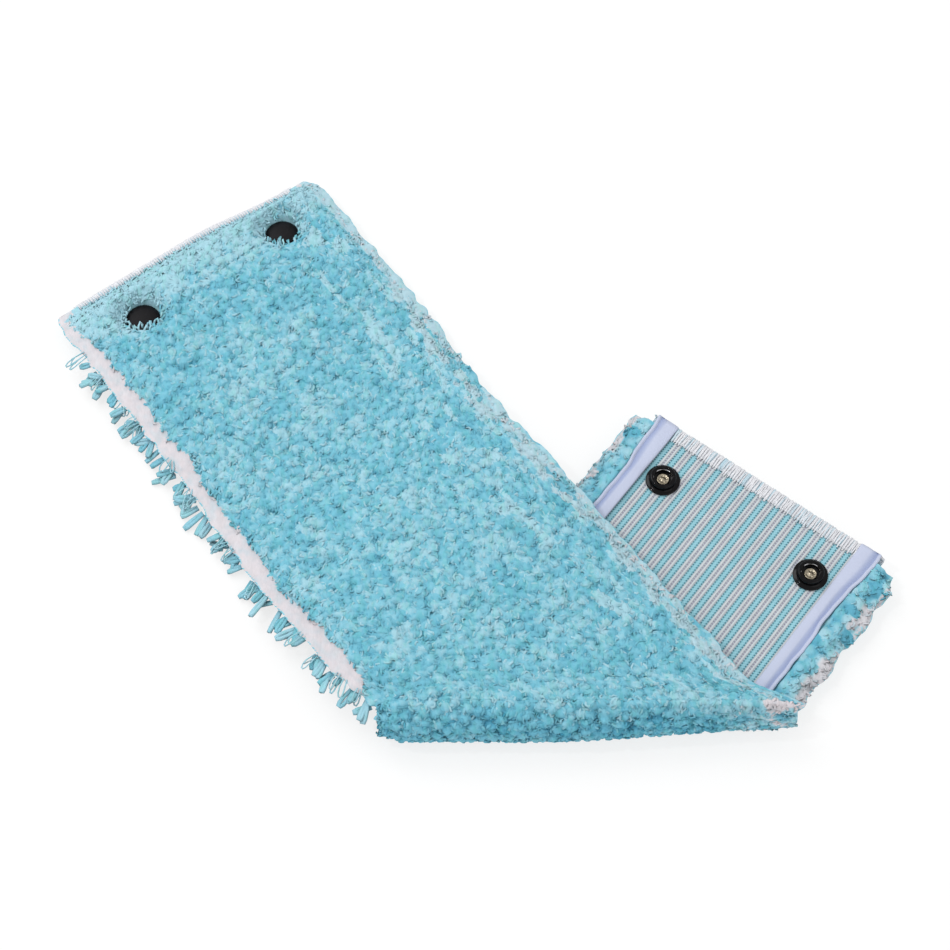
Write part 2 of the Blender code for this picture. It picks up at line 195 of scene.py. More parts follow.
# %% Putting arrays into meshes
def add_piece(name, points, quads, material, uv=None, values=None, sharp=None):
    """A mesh object from closed four-cornered faces. Its volume is the sum over the faces of the
    corner products over six, and the faces are turned round where it comes out negative."""
    points, quads = points.reshape(-1, 3), quads.reshape(-1, 4)
    a, b, c, d = (points[quads[:, k]] for k in range(4))
    volume = (np.cross(a, b) * c).sum() + (np.cross(a, c) * d).sum()
    if volume < 0:
        quads = quads[:, ::-1]
    mesh = bpy.data.meshes.new(name)
    mesh.vertices.add(len(points))
    mesh.vertices.foreach_set("co", points.astype(np.float32).ravel())
    mesh.loops.add(quads.size)
    mesh.loops.foreach_set("vertex_index", quads.astype(np.int32).ravel())
    mesh.polygons.add(len(quads))
    mesh.polygons.foreach_set("loop_start", np.arange(0, quads.size, 4, dtype=np.int32))
    mesh.polygons.foreach_set("use_smooth", np.ones(len(quads), bool))
    mesh.update(calc_edges=True)
    if uv is not None:
        layer = mesh.uv_layers.new(name="UVMap")
        layer.data.foreach_set("uv", uv.reshape(-1, 2)[quads.ravel()].astype(np.float32).ravel())
    for key, value in (values or {}).items():
        is_vector = value.size == points.size
        layer = mesh.attributes.new(key, "FLOAT_VECTOR" if is_vector else "FLOAT", "POINT")
        layer.data.foreach_set("vector" if is_vector else "value", value.astype(np.float32).ravel())
    if sharp is not None:
        shaped = bmesh.new()
        shaped.from_mesh(mesh)
        bmesh.ops.remove_doubles(shaped, verts=shaped.verts, dist=1e-7)
        shaped.to_mesh(mesh)
        shaped.free()
        mesh.set_sharp_from_angle(angle=math.radians(sharp))
    mesh.materials.append(material)
    obj = bpy.data.objects.new(name, mesh)
    bpy.context.scene.collection.objects.link(obj)
    print(f"{name}: {2 * len(quads):,} triangles")
    return obj


def slab_quads(rows, columns):
    """Faces of a closed slab whose points are a top grid and then a bottom grid: both grids,
    and a band of faces round their rims."""
    index = np.arange(rows * columns).reshape(rows, columns)
    grid = np.stack((index[:-1, :-1], index[1:, :-1], index[1:, 1:], index[:-1, 1:]), -1)
    rim = np.concatenate((index[0, :-1], index[:-1, -1], index[-1, :0:-1], index[:0:-1, 0]))
    after = np.roll(rim, -1)
    below = rows * columns
    wall = np.stack((rim, after, after + below, rim + below), -1)
    return np.concatenate((grid.reshape(-1, 4), grid.reshape(-1, 4)[:, ::-1] + below, wall))


def slab_points(s, c, top, bottom):
    """The two grids of a slab: the same s and c, with n at the top and then at the bottom."""
    return np.stack([np.stack(np.broadcast_arrays(s, c, n), -1) for n in (top, bottom)])


def tube_quads(count, stations, sides):
    """Faces of many closed tubes: rings joined along each path, and each end filled."""
    ring, side = np.meshgrid(np.arange(stations - 1), np.arange(sides), indexing="ij")
    here, beside = ring * sides + side, ring * sides + (side + 1) % sides
    wall = np.stack((here, beside, beside + sides, here + sides), -1).reshape(-1, 4)
    k = np.arange(sides // 2 - 1)
    cap = np.stack((k, sides - 1 - k, sides - 2 - k, k + 1), -1)
    last = (stations - 1) * sides
    one = np.concatenate((wall, cap, cap[:, ::-1] + last))
    return one[None] + (np.arange(count) * stations * sides)[:, None, None]


def tube_rings(path, beside, thick, sides):
    """Rings of points round paths: each ring lies square to its path, on two directions worked
    out from the path's own direction and from beside, which is square to the loop's plane."""
    ahead = np.gradient(path, axis=1)
    ahead /= np.linalg.norm(ahead, axis=-1, keepdims=True)
    one = beside - ahead * (beside * ahead).sum(-1, keepdims=True)
    one /= np.linalg.norm(one, axis=-1, keepdims=True)
    two = np.cross(ahead, one)
    turn = 2 * math.pi * (np.arange(sides) + 0.5) / sides
    ring = (np.cos(turn)[:, None] * one[:, :, None] + np.sin(turn)[:, None] * two[:, :, None])
    return path[:, :, None] + thick[:, :, None, None] * ring


def soft_patches(s, c, size_s, size_c, seed):
    """Patches of random values from 0 to 1: one value at each corner of a grid of cells of the
    given sizes, blended between the corners with the smooth step."""
    cells, offset = 64, 96.0
    table = np.random.default_rng(seed).random((cells, cells))
    along, across = s / size_s + offset, c / size_c + offset
    i, j = np.floor(along).astype(int), np.floor(across).astype(int)
    f, g = smooth_step(along - i), smooth_step(across - j)
    i, j, after_i, after_j = i % cells, j % cells, (i + 1) % cells, (j + 1) % cells
    low = table[i, j] * (1 - f) + table[after_i, j] * f
    high = table[i, after_j] * (1 - f) + table[after_i, after_j] * f
    return low * (1 - g) + high * g


# %% [markdown]
# ## Finishes
# Yarn, cloth, tape and thread are all matt textiles, so they share one node group for the fine
# fibres: two noises that shade the colour a little and roughen the surface. The group puts out
# a shade and a height, and each material keeps its own shader. The stripes of the cloth are
# worked out from its own UV map, which holds c and s in metres, because they follow the weave.

# %% Helpers for shader nodes
def set_socket(tree, socket, value):
    """Joins a socket to another node's output, or sets its value."""
    if isinstance(value, bpy.types.NodeSocket):
        tree.links.new(value, socket)
    else:
        socket.default_value = value


def add_node(tree, kind, settings=None, **sockets):
    """A node with its settings, and its named sockets joined or set."""
    made = tree.nodes.new(kind)
    for key, value in (settings or {}).items():
        setattr(made, key, value)
    for key, value in sockets.items():
        set_socket(tree, made.inputs[key.replace("_", " ")], value)
    return made


def sums(tree, operation, *values, clamp=False):
    """A Math node's output."""
    made = tree.nodes.new("ShaderNodeMath")
    made.operation = operation
    made.use_clamp = clamp
    for socket, value in zip(made.inputs, values):
        set_socket(tree, socket, value)
    return made.outputs[0]


def between(tree, value, low, high, to_low=0.0, to_high=1.0):
    """A smooth step of value from low to high."""
    made = add_node(tree, "ShaderNodeMapRange", {"interpolation_type": "SMOOTHSTEP"},
                    Value=value, From_Min=low, From_Max=high, To_Min=to_low, To_Max=to_high)
    return made.outputs["Result"]


def mixed(tree, factor, one, other, blend="MIX"):
    """Colour one turned into the other by factor."""
    made = tree.nodes.new("ShaderNodeMix")
    made.data_type, made.blend_type = "RGBA", blend
    for socket, value in zip((made.inputs[0], made.inputs[6], made.inputs[7]), (factor, one, other)):
        set_socket(tree, socket, value)
    return made.outputs[2]


def noise(tree, vector, scale, detail=3.0, roughness=0.5):
    """A noise's value at scale patches to the metre."""
    made = add_node(tree, "ShaderNodeTexNoise", Vector=vector, Scale=scale, Detail=detail,
                    Roughness=roughness)
    return made.outputs["Fac"]


def new_material(name):
    """An empty material with a Principled shader on its output."""
    material = bpy.data.materials.new(name)
    material.use_nodes = True
    tree = material.node_tree
    tree.nodes.clear()
    shader = tree.nodes.new("ShaderNodeBsdfPrincipled")
    output = tree.nodes.new("ShaderNodeOutputMaterial")
    tree.links.new(shader.outputs[0], output.inputs[0])
    return material, tree, shader


def colour(red, green, blue):
    """A colour given as it looks on a screen, from 0 to 255, as the linear one a shader takes."""
    seen = np.array((red, green, blue)) / 255.0
    linear = np.where(seen <= 0.04045, seen / 12.92, ((seen + 0.055) / 1.055) ** 2.4)
    return (*linear.tolist(), 1.0)


def set_finish(shader, **levels):
    """Levels that are the same all over, set on the shader's own sockets."""
    for name, level in levels.items():
        shader.inputs[name.replace("_", " ")].default_value = level


def object_place(tree):
    """A place on the piece in metres, which moves with it."""
    return tree.nodes.new("ShaderNodeTexCoord").outputs["Object"]


def cloth_place(tree):
    """A place on a sheet, a tape or a thread, from its own UV map, in metres."""
    return add_node(tree, "ShaderNodeUVMap", {"uv_map": "UVMap"}).outputs[0]


def group_socket(tree, name, direction, kind="NodeSocketFloat", value=None):
    """One named input or output of a node group."""
    made = tree.interface.new_socket(name=name, in_out=direction, socket_type=kind)
    if value is not None:
        made.default_value = value


# %% The fibres that every textile here shares
def make_fibre_group():
    """Shade is one and a little noise either side of it; Height is a finer noise for a bump."""
    tree = bpy.data.node_groups.new("textile_fibres", "ShaderNodeTree")
    group_socket(tree, "Vector", "INPUT", "NodeSocketVector")
    group_socket(tree, "Fibre Scale", "INPUT", value=1800.0)
    group_socket(tree, "Patch Scale", "INPUT", value=120.0)
    group_socket(tree, "Contrast", "INPUT", value=0.2)
    group_socket(tree, "Shade", "OUTPUT")
    group_socket(tree, "Height", "OUTPUT")
    given, put_out = tree.nodes.new("NodeGroupInput"), tree.nodes.new("NodeGroupOutput")
    fine = noise(tree, given.outputs["Vector"], given.outputs["Fibre Scale"], 2.0, 0.6)
    wide = noise(tree, given.outputs["Vector"], given.outputs["Patch Scale"], 2.0)
    both = sums(tree, "ADD", sums(tree, "SUBTRACT", fine, 0.5), sums(tree, "SUBTRACT", wide, 0.5))
    shade = sums(tree, "MULTIPLY_ADD", both, given.outputs["Contrast"], 1.0)
    tree.links.new(shade, put_out.inputs["Shade"])
    tree.links.new(fine, put_out.inputs["Height"])
    return tree


FIBRES = make_fibre_group()


def fibres(tree, vector, fibre_scale, patch_scale, contrast):
    """The fibre group placed in a material: its shade and its height."""
    made = tree.nodes.new("ShaderNodeGroup")
    made.node_tree = FIBRES
    for key, value in (("Vector", vector), ("Fibre Scale", fibre_scale),
                       ("Patch Scale", patch_scale), ("Contrast", contrast)):
        set_socket(tree, made.inputs[key], value)
    return made.outputs["Shade"], made.outputs["Height"]


def shaded(tree, tint, shade):
    """A colour made lighter or darker by a plain number."""
    grey = add_node(tree, "ShaderNodeCombineColor", Red=shade, Green=shade, Blue=shade)
    return mixed(tree, 1.0, tint, grey.outputs[0], "MULTIPLY")


def bumped(tree, shader, height, distance, strength=1.0, normal=None):
    """A bump on the shader's normal, or on another one that is given."""
    made = add_node(tree, "ShaderNodeBump", Height=height, Distance=distance, Strength=strength)
    if normal is not None:
        tree.links.new(normal, made.inputs["Normal"])
    tree.links.new(made.outputs[0], shader.inputs["Normal"])


def read_value(tree, name):
    """A value stored on the mesh."""
    return add_node(tree, "ShaderNodeAttribute", {"attribute_name": name}).outputs["Fac"]


# %% The pile's yarn
SOFTNESS = 2.1
YARN_DEEP = colour(62, 147, 178)
YARN_BLUE = colour(116, 185, 205)
YARN_PALE = colour(161, 204, 217)
YARN_WHITE = colour(213, 207, 211)
YARN_GREENER = (0.87, 0.98, 0.93, 1.0)
# Painted shade: the bluish colour that deep yarn is multiplied by.
HOLLOW_PAINTED_SHADE = (0.42, 0.67, 0.78, 1.0)


def soft_normal(tree):
    """The face's own normal plus SOFTNESS times the direction that the pile faces there, which
    the loops carry with them. Light goes through yarn, so a loop is lit less by its own shape
    than by that of the tuft that it is in."""
    facing = add_node(tree, "ShaderNodeAttribute", {"attribute_name": "soft"}).outputs["Vector"]
    facing = add_node(tree, "ShaderNodeVectorMath", {"operation": "NORMALIZE"}, Vector=facing)
    own = tree.nodes.new("ShaderNodeNewGeometry").outputs["Normal"]
    both = tree.nodes.new("ShaderNodeVectorMath")
    both.operation = "MULTIPLY_ADD"
    for socket, value in zip(both.inputs, (facing.outputs[0], (SOFTNESS,) * 3, own)):
        set_socket(tree, socket, value)
    return add_node(tree, "ShaderNodeVectorMath", {"operation": "NORMALIZE"},
                    Vector=both.outputs[0]).outputs[0]


def make_yarn():
    """Tint runs from the deepest turquoise to off-white, and a noise turns some of it greener.
    Where the painted light level on the mesh is low the yarn lies deep, and there its colour is
    multiplied towards a bluish painted shade, which stands in for light that has passed from loop to
    loop. The fibres' noise is drawn out along y, the way that the loops lie."""
    material, tree, shader = new_material("looped_yarn")
    tint, painted_light_level = read_value(tree, "tint"), read_value(tree, "painted_light_level")
    place = object_place(tree)
    drawn = add_node(tree, "ShaderNodeMapping", Vector=place, Scale=(1.0, 0.4, 0.6)).outputs[0]
    shade, height = fibres(tree, drawn, 1300.0, 260.0, 0.22)
    blues = mixed(tree, between(tree, tint, 0.0, 0.45), YARN_DEEP, YARN_BLUE)
    pales = mixed(tree, between(tree, tint, 0.4, 0.7), blues, YARN_PALE)
    greener = between(tree, noise(tree, drawn, 420.0, 2.0), 0.48, 0.62)
    pales = mixed(tree, greener, pales, YARN_GREENER, "MULTIPLY")
    dye_and_painted_shade = mixed(tree, between(tree, tint, 0.72, 0.86), pales, YARN_WHITE)
    # Painted shade: where the painted light level is low the colour is multiplied towards the hollow
    # shade.
    depth = mixed(tree, between(tree, painted_light_level, 0.0, 0.95), HOLLOW_PAINTED_SHADE, (1.0, 1.0, 1.0, 1.0))
    lit = shaded(tree, mixed(tree, 1.0, dye_and_painted_shade, depth, "MULTIPLY"), shade)
    tree.links.new(lit, shader.inputs["Base Color"])
    set_finish(shader, Roughness=0.92, Sheen_Weight=0.05, Sheen_Roughness=0.6,
               Specular_IOR_Level=0.1)
    bumped(tree, shader, height, 0.0003, 0.3, soft_normal(tree))
    return material


YARN = make_yarn()

# %% The ground cloth, striped on its back
STRIPES = 15.6
STRIPE_PERIOD = 2 * TAPE_INNER_EDGE / STRIPES
STITCH_PITCH = 0.00125
FIRST_BAND = -TAPE_INNER_EDGE
CORD_PLACES = (0.585, 0.885)


def make_cloth():
    """Across the cloth each period is a turquoise band with a row of dark holes near either
    side, then a white cord, a row of mauve stitches and a second white cord. The holes and
    stitches repeat along the cloth as a cosine of s over the stitch pitch."""
    material, tree, shader = new_material("striped_ground_cloth")
    where = cloth_place(tree)
    split = add_node(tree, "ShaderNodeSeparateXYZ", Vector=where)
    across, along = split.outputs[0], split.outputs[1]
    period = sums(tree, "DIVIDE", sums(tree, "SUBTRACT", across, FIRST_BAND), STRIPE_PERIOD)
    q = sums(tree, "FRACT", period)

    def line(middle, half_width):
        """1 on a line at a part of the period, fading to 0 at its half width."""
        away = sums(tree, "ABSOLUTE", sums(tree, "SUBTRACT", q, middle))
        return between(tree, away, half_width, half_width * 0.45)

    def beads(shift):
        """1 on each stitch along the cloth and 0 between them."""
        turns = sums(tree, "MULTIPLY_ADD", along, 2 * math.pi / STITCH_PITCH, shift)
        return between(tree, sums(tree, "COSINE", turns), -0.45, 0.25)

    band = sums(tree, "MULTIPLY", between(tree, q, 0.005, 0.035), between(tree, q, 0.475, 0.44))
    cords = sums(tree, "ADD", *(line(middle, 0.105) for middle in CORD_PLACES), clamp=True)
    holes = sums(tree, "ADD", sums(tree, "MULTIPLY", line(0.070, 0.075), beads(0.0)),
                 sums(tree, "MULTIPLY", line(0.410, 0.075), beads(2.1)), clamp=True)
    middle = sums(tree, "MULTIPLY", line(0.735, 0.085), beads(1.0))
    shade, height = fibres(tree, where, 2600.0, 150.0, 0.22)
    ground = mixed(tree, band, colour(172, 179, 187), colour(134, 187, 200))
    centre = sums(tree, "MULTIPLY", line(0.24, 0.12), beads(0.8))
    ground = mixed(tree, sums(tree, "MULTIPLY", centre, 0.4), ground, colour(164, 208, 219))
    ground = mixed(tree, cords, ground, colour(198, 204, 207))
    ground = mixed(tree, sums(tree, "MULTIPLY", middle, 0.85), ground, colour(132, 126, 144))
    ground = mixed(tree, holes, ground, colour(72, 124, 138))
    # Painted shadow: the cloth is darkened beside the left tape's inner edge, where the tape's shadow
    # falls.
    tape_painted_shadow = between(tree, across, FIRST_BAND + 0.0008, FIRST_BAND + 0.0030, 0.72, 1.0)
    lit = shaded(tree, ground, sums(tree, "MULTIPLY", shade, tape_painted_shadow))
    tree.links.new(lit, shader.inputs["Base Color"])
    set_finish(shader, Roughness=0.88, Sheen_Weight=0.15, Specular_IOR_Level=0.25)
    knots = sums(tree, "MULTIPLY", cords, sums(tree, "MULTIPLY_ADD", beads(0.4), 0.4, 0.6))
    relief = sums(tree, "ADD", sums(tree, "SUBTRACT", knots, sums(tree, "MULTIPLY", holes, 1.3)),
                  sums(tree, "MULTIPLY", height, 0.5))
    bumped(tree, shader, relief, 0.00022, 0.8)
    return material


STRIPED_CLOTH = make_cloth()

# %% Tape and thread
GROOVE_RUN = 0.0119


def make_tape():
    """Smooth pale tape: fine twill lines, a bump of fine waves across and along its UV map, and
    painted shade that darkens it towards the groove by its roll.
    """
    material, tree, shader = new_material("pale_edge_tape")
    where = cloth_place(tree)
    shade, height = fibres(tree, where, 1400.0, 70.0, 0.10)
    turned = add_node(tree, "ShaderNodeMapping", Vector=where, Rotation=(0.0, 0.0, 0.9))
    twill = add_node(tree, "ShaderNodeTexWave", Vector=turned.outputs[0], Scale=420.0,
                     Distortion=0.6, Detail=1.0).outputs["Fac"]
    tint = mixed(tree, sums(tree, "MULTIPLY", twill, 0.25), colour(189, 196, 218),
                 colour(180, 188, 210))
    run = add_node(tree, "ShaderNodeSeparateXYZ", Vector=where).outputs[0]
    # Painted shade: the tape darkens towards the groove beside its roll, where shade falls.
    groove_painted_shade = sums(tree, "MULTIPLY", between(tree, run, GROOVE_RUN - 0.0045, GROOVE_RUN),
                     between(tree, run, GROOVE_RUN + 0.0006, GROOVE_RUN + 0.0001))
    tint = mixed(tree, sums(tree, "MULTIPLY", groove_painted_shade, 0.8), tint, colour(142, 156, 194))
    tree.links.new(shaded(tree, tint, shade), shader.inputs["Base Color"])
    set_finish(shader, Roughness=0.7, Sheen_Weight=0.2, Specular_IOR_Level=0.3)
    bumped(tree, shader, sums(tree, "ADD", twill, height), 0.00006, 0.6)
    return material


def make_thread():
    """Overlock thread: off-white, with a fine twist along it and blue where the cloth's own
    yarn is caught in the seam."""
    material, tree, shader = new_material("overlock_thread")
    where = cloth_place(tree)
    turned = add_node(tree, "ShaderNodeMapping", Vector=where, Rotation=(0.0, 0.0, 0.7))
    twist = add_node(tree, "ShaderNodeTexWave", Vector=turned.outputs[0], Scale=900.0,
                     Distortion=0.3).outputs["Fac"]
    place = object_place(tree)
    shade, height = fibres(tree, place, 2200.0, 300.0, 0.18)
    caught = read_value(tree, "tint")
    tint = mixed(tree, caught, colour(228, 227, 231), colour(150, 200, 218))
    shade = sums(tree, "MULTIPLY", shade, sums(tree, "MULTIPLY_ADD", twist, 0.08, 0.94))
    tree.links.new(shaded(tree, tint, shade), shader.inputs["Base Color"])
    set_finish(shader, Roughness=0.75, Sheen_Weight=0.15)
    bumped(tree, shader, sums(tree, "ADD", twist, height), 0.00008, 0.6)
    return material


PALE_TAPE, THREAD = make_tape(), make_thread()

# %% Enamel and metals
def make_metal(name, tint, metallic, roughness, wear_tint, wear, scratches, specular=0.5):
    """A hard finish: fine scratches roughen it and a soft noise wears it here and there."""
    material, tree, shader = new_material(name)
    place = object_place(tree)
    fine = noise(tree, place, 2400.0, 3.0, 0.6)
    wide = noise(tree, place, 420.0, 2.0)
    worn = sums(tree, "MULTIPLY", between(tree, wide, 0.52, 0.72), wear)
    tree.links.new(mixed(tree, worn, tint, wear_tint), shader.inputs["Base Color"])
    rough = sums(tree, "MULTIPLY_ADD", sums(tree, "SUBTRACT", fine, 0.5), scratches, roughness)
    tree.links.new(sums(tree, "MULTIPLY_ADD", worn, 0.15, rough), shader.inputs["Roughness"])
    set_finish(shader, Metallic=metallic, Specular_IOR_Level=specular)
    bumped(tree, shader, fine, 0.00003, 0.25)
    return material


CAP_BLACK = make_metal("matt_black_cap", colour(17, 15, 18), 0.0, 0.55,
                       colour(31, 29, 34), 0.5, 0.2, 0.16)
SOCKET_BLACK = make_metal("glossy_black_socket", colour(7, 6, 8), 0.0, 0.09,
                          colour(28, 27, 31), 0.30, 0.04, 0.16)
BRASS = make_metal("pale_brass", colour(158, 149, 131), 1.0, 0.32, colour(122, 112, 94), 0.6, 0.2)
STEEL = make_metal("spring_steel", colour(190, 190, 194), 1.0, 0.22, colour(150, 150, 154), 0.4, 0.2)

# %% [markdown]
# ## The pile
# Real microfibre pile is made of many thousands of fine yarn loops, which stand so close that
# only their rounded tops show, in little clumps with darker gaps. Hair particles would give
# fibres without thickness, and a bump map a flat carpet. Here each loop is a small closed tube
# of five rings, bent like a hairpin, and all the loops of a region are one array. Under them
# lies a bed of the same yarn, with lumps and finer bobbles in its surface, and the loops stand
# only a little out of it, so that no gap shows through to the cloth. Every loop leans out from
# the middle of its lump, and the lumps lie in rows along the strip, because the machine that
# knits the loops works in rows.

# %% Loops as arrays
LUMP_S, LUMP_C = 0.0042, 0.0047
BOBBLE_S, BOBBLE_C = 0.0025, 0.0018
LOOP_STATIONS, LOOP_SIDES = 5, 4
HANGING_STATIONS, HANGING_SIDES = 8, 6
LOOP_HALF_WIDTH, LOOP_ROOT, LEAST_RISE, SPLAY = (0.0007, 0.0016), 0.0009, 0.0003, 0.38


def yarn_tubes(root, rise, across, bend, thick, twist, stations=LOOP_STATIONS,
               sides=LOOP_SIDES, petal=0.0):
    """Hairpins: for u from 0 to 1 a point is root + rise times the sine of pi u, flattened,
    + across times the cosine of pi u + bend times that sine squared. Twist carries the two
    legs apart, square to the loop's plane. Petal turns the cosine into the sine of 2 pi u, so
    that the loop is narrow at its root and wide near its end. The yarn is thickest there."""
    u = np.linspace(0.02, 0.98, stations)
    sine, cosine = np.sin(math.pi * u)[:, None], np.cos(math.pi * u)[:, None]
    plane = np.cross(rise, across)
    plane /= np.linalg.norm(plane, axis=-1, keepdims=True)
    spread = (1 - petal) * cosine + petal * np.sin(2 * math.pi * u)[:, None]
    path = (root[:, None] + rise[:, None] * sine ** 0.7 + across[:, None] * spread
            + bend[:, None] * sine ** 2
            + plane[:, None] * twist[:, None, None] * np.sin(2 * math.pi * u)[:, None])
    width = thick[:, None] * (0.8 + 0.25 * np.sin(math.pi * u))
    rings = tube_rings(path, plane[:, None], width, sides)
    # Painted light level of each ring: low at the loop's root, where painted shade darkens the yarn,
    # and highest at its top.
    painted_light_level = np.broadcast_to((0.62 + 0.38 * sine ** 0.7)[None, :, :], rings.shape[:3])
    return rings, painted_light_level


def jittered_feet(spacing, s_span, c_span, rng):
    """Feet a spacing apart in staggered rows, each moved at random by up to a third of it."""
    rows = np.arange(*s_span, spacing * 0.9)
    columns = np.arange(*c_span, spacing * 1.1)
    s, c = np.meshgrid(rows, columns, indexing="ij")
    c = c + (np.arange(len(rows)) % 2)[:, None] * spacing * 0.55
    s, c = s.ravel(), c.ravel()
    shift = rng.uniform(-0.36, 0.36, (2, s.size)) * spacing
    return s + shift[0], c + shift[1]


def lumps(s, c, seed=7, size_s=LUMP_S, size_c=LUMP_C):
    """Round lumps in rows along the strip. Each cell of a staggered grid holds one, with its
    middle moved at random, and a lump's height is 1 less 1.25 times the squared distance from
    its middle, in cells. Gives the smoothed highest of the nine nearest, that lump's own random
    number, and how far s and c are from its middle."""
    rng = np.random.default_rng(seed)
    rows, columns, sharpness = 97, 89, 8.0
    table = rng.uniform(0.22, 0.78, (2, rows, columns))
    number = rng.random((rows, columns))
    total = np.zeros(s.shape)
    best = np.full(s.shape, -9.0)
    own, away_s, away_c = np.zeros(s.shape), np.zeros(s.shape), np.zeros(s.shape)
    row = np.floor(s / size_s).astype(int)
    for i in (row - 1, row, row + 1):
        stagger = 0.5 * (i % 2)
        column = np.floor(c / size_c + stagger).astype(int)
        for j in (column - 1, column, column + 1):
            cell = i % rows, j % columns
            ds = s - (i + table[0][cell]) * size_s
            dc = c - (j - stagger + table[1][cell]) * size_c
            height = 1.0 - 1.25 * ((ds / size_s) ** 2 + (dc / size_c) ** 2)
            total += np.exp(sharpness * height)
            nearer = height > best
            best = np.where(nearer, height, best)
            own = np.where(nearer, number[cell], own)
            away_s, away_c = np.where(nearer, ds, away_s), np.where(nearer, dc, away_c)
    return np.clip(np.log(total) / sharpness, 0.0, 1.1), own, away_s, away_c


def bobbles(s, c):
    """The finer lumps that the ends of single loops make, longer across the picture's depth
    than sideways: the same cells as the lumps', laid along the floor's own y and x."""
    return lumps(s * SIN + c * COS, c * SIN - s * COS, 8, BOBBLE_S, BOBBLE_C)[0]


def facing_of(surface, s, c):
    """The direction square to a surface of height over s and c: one less its two slopes."""
    step = 0.0004
    slope_s = (surface(s + step, c) - surface(s - step, c)) / (2 * step)
    slope_c = (surface(s, c + step) - surface(s, c - step)) / (2 * step)
    return np.stack((-slope_s, -slope_c, np.ones(s.shape)), -1)


def standing_loops(s, c, bed, proud, lean, rng, thick=(0.00042, 0.00062)):
    """Loops that stand out of the bed at feet (s, c) by proud. They splay out from the middle of
    their lump, as the yarn of a bobble does, and lean by the two lengths of lean."""
    count = s.size
    away_s, away_c = lumps(s, c)[2:]
    yarn = rng.uniform(*thick, count)
    top = np.minimum(bed + proud * rng.uniform(0.6, 1.2, count), PILE_TOP - 0.0001) - yarn
    low = bed - LOOP_ROOT
    turn = math.pi / 2 - STRIP_TO_CREASE + rng.normal(0, 0.7, count)
    half = rng.uniform(*LOOP_HALF_WIDTH, count)
    zero = np.zeros(count)
    root = np.stack((s, c, low), -1)
    rise = np.stack((zero, zero, np.maximum(top - low, LEAST_RISE)), -1)
    across = np.stack((np.cos(turn), np.sin(turn), zero), -1) * half[:, None]
    loose = rng.normal(0, 0.00060, (2, count))
    bend = np.stack((SPLAY * away_s + lean[0] + loose[0],
                     SPLAY * away_c + lean[1] + loose[1], zero), -1)
    return yarn_tubes(root, rise, across, bend, yarn, rng.uniform(-0.0007, 0.0007, count))


def lying_loops(root, out, length, width, sag, thick, rng):
    """Long loops that hang out of an edge: from root they run along out for length, width
    apart, and sink by sag towards their ends."""
    side = np.cross(out, np.array((0.0, 0.0, 1.0)))
    side /= np.linalg.norm(side, axis=-1, keepdims=True)
    bend = np.zeros_like(root)
    bend[:, 2] = sag
    twist = rng.uniform(-0.0006, 0.0006, len(root))
    return yarn_tubes(root, out * length[:, None], side * width[:, None], bend, thick, twist,
                      HANGING_STATIONS, HANGING_SIDES, petal=0.5)


def add_loops(name, tubes, tint, place, facing=(0.0, 0.0, 1.0), per_piece=5000):
    """The loops as pieces of at most per_piece loops each, laid on the strip. Facing, in s, c
    and n, is laid too: it is where a point goes when it is moved a little that way."""
    rings, painted_light_level = tubes
    count, stations, sides = rings.shape[:3]
    facing = np.broadcast_to(facing, (count, 3))
    made = []
    parts = max(1, math.ceil(count / per_piece))
    for part, chosen in enumerate(np.array_split(np.arange(count), parts)):
        laid = place(rings[chosen])
        soft = place(rings[chosen] + 0.0001 * facing[chosen][:, None, None]) - laid
        laid[..., 2] = np.maximum(laid[..., 2], 0.0001)
        tints = np.broadcast_to(tint[chosen][:, None, None], laid.shape[:3])
        label = name if parts == 1 else f"{name}_{part + 1}"
        made.append(add_piece(label, laid, tube_quads(len(chosen), stations, sides), YARN,
                              values={"tint": tints, "painted_light_level": painted_light_level[chosen], "soft": soft * 1000.0}))
    return made


# %% Colours of the loops
FIELD_HALF = PILE_WIDTH / 2 - 0.0015
LOOPS_HALF = {"long": FIELD_HALF, "short": 0.0570}
BAND_LEFT, BAND_RIGHT, CORNER_C = -0.0612, 0.0630, 0.0600
LINE_C, LINE_WANDER, LINE_HALF, LINE_END = 0.0560, 0.008, 0.0042, 0.215
WHITE_STREAK, WHITE_LINE, MOST_BLUE = 0.70, 0.748, 0.69


def off_band(s, c):
    """How far a place is off the pale band of the long half's left edge, which wanders, has a
    ragged border, runs out before the fold and is narrower at the seamed end."""
    runs_out = 0.010 * smooth_step((0.062 - s) / 0.010)
    narrower = 0.0026 * smooth_step((s - 0.262) / 0.018)
    wander = 0.0022 * (soft_patches(s, 0 * c, 0.012, 1.0, 31) - 0.5)
    ragged = 0.0026 * (soft_patches(s, c, 0.0024, 0.0030, 42) - 0.5)
    return c - BAND_LEFT - wander - ragged + (runs_out + narrower)


def field_tint(s, c, each, pale_level=0.86):
    """Turquoise that varies from lump to lump, by wider patches and by each, a random number of the
    loop's own, and is painted deeper between lumps and bobbles as shade. Some small patches and
    single loops are pale."""
    height, own = lumps(s, c)[:2]
    wide = soft_patches(s, c, 0.011, 0.009, 21)
    tint = 0.08 + 0.20 * own + 0.16 * wide + 0.30 * each
    # Painted shade: the tint goes deeper where the lumps and bobbles are low, between them.
    tint = tint + 0.16 * (height - 0.6) + 0.16 * (bobbles(s, c) - 0.6)
    paler = soft_patches(s, c, 0.0036, 0.0030, 22) * 0.80 + 0.20 * each
    flecked = (paler > pale_level) | (each > 0.97)
    return np.where(flecked, 0.62 + 0.10 * own, np.clip(tint, 0.0, 0.66))


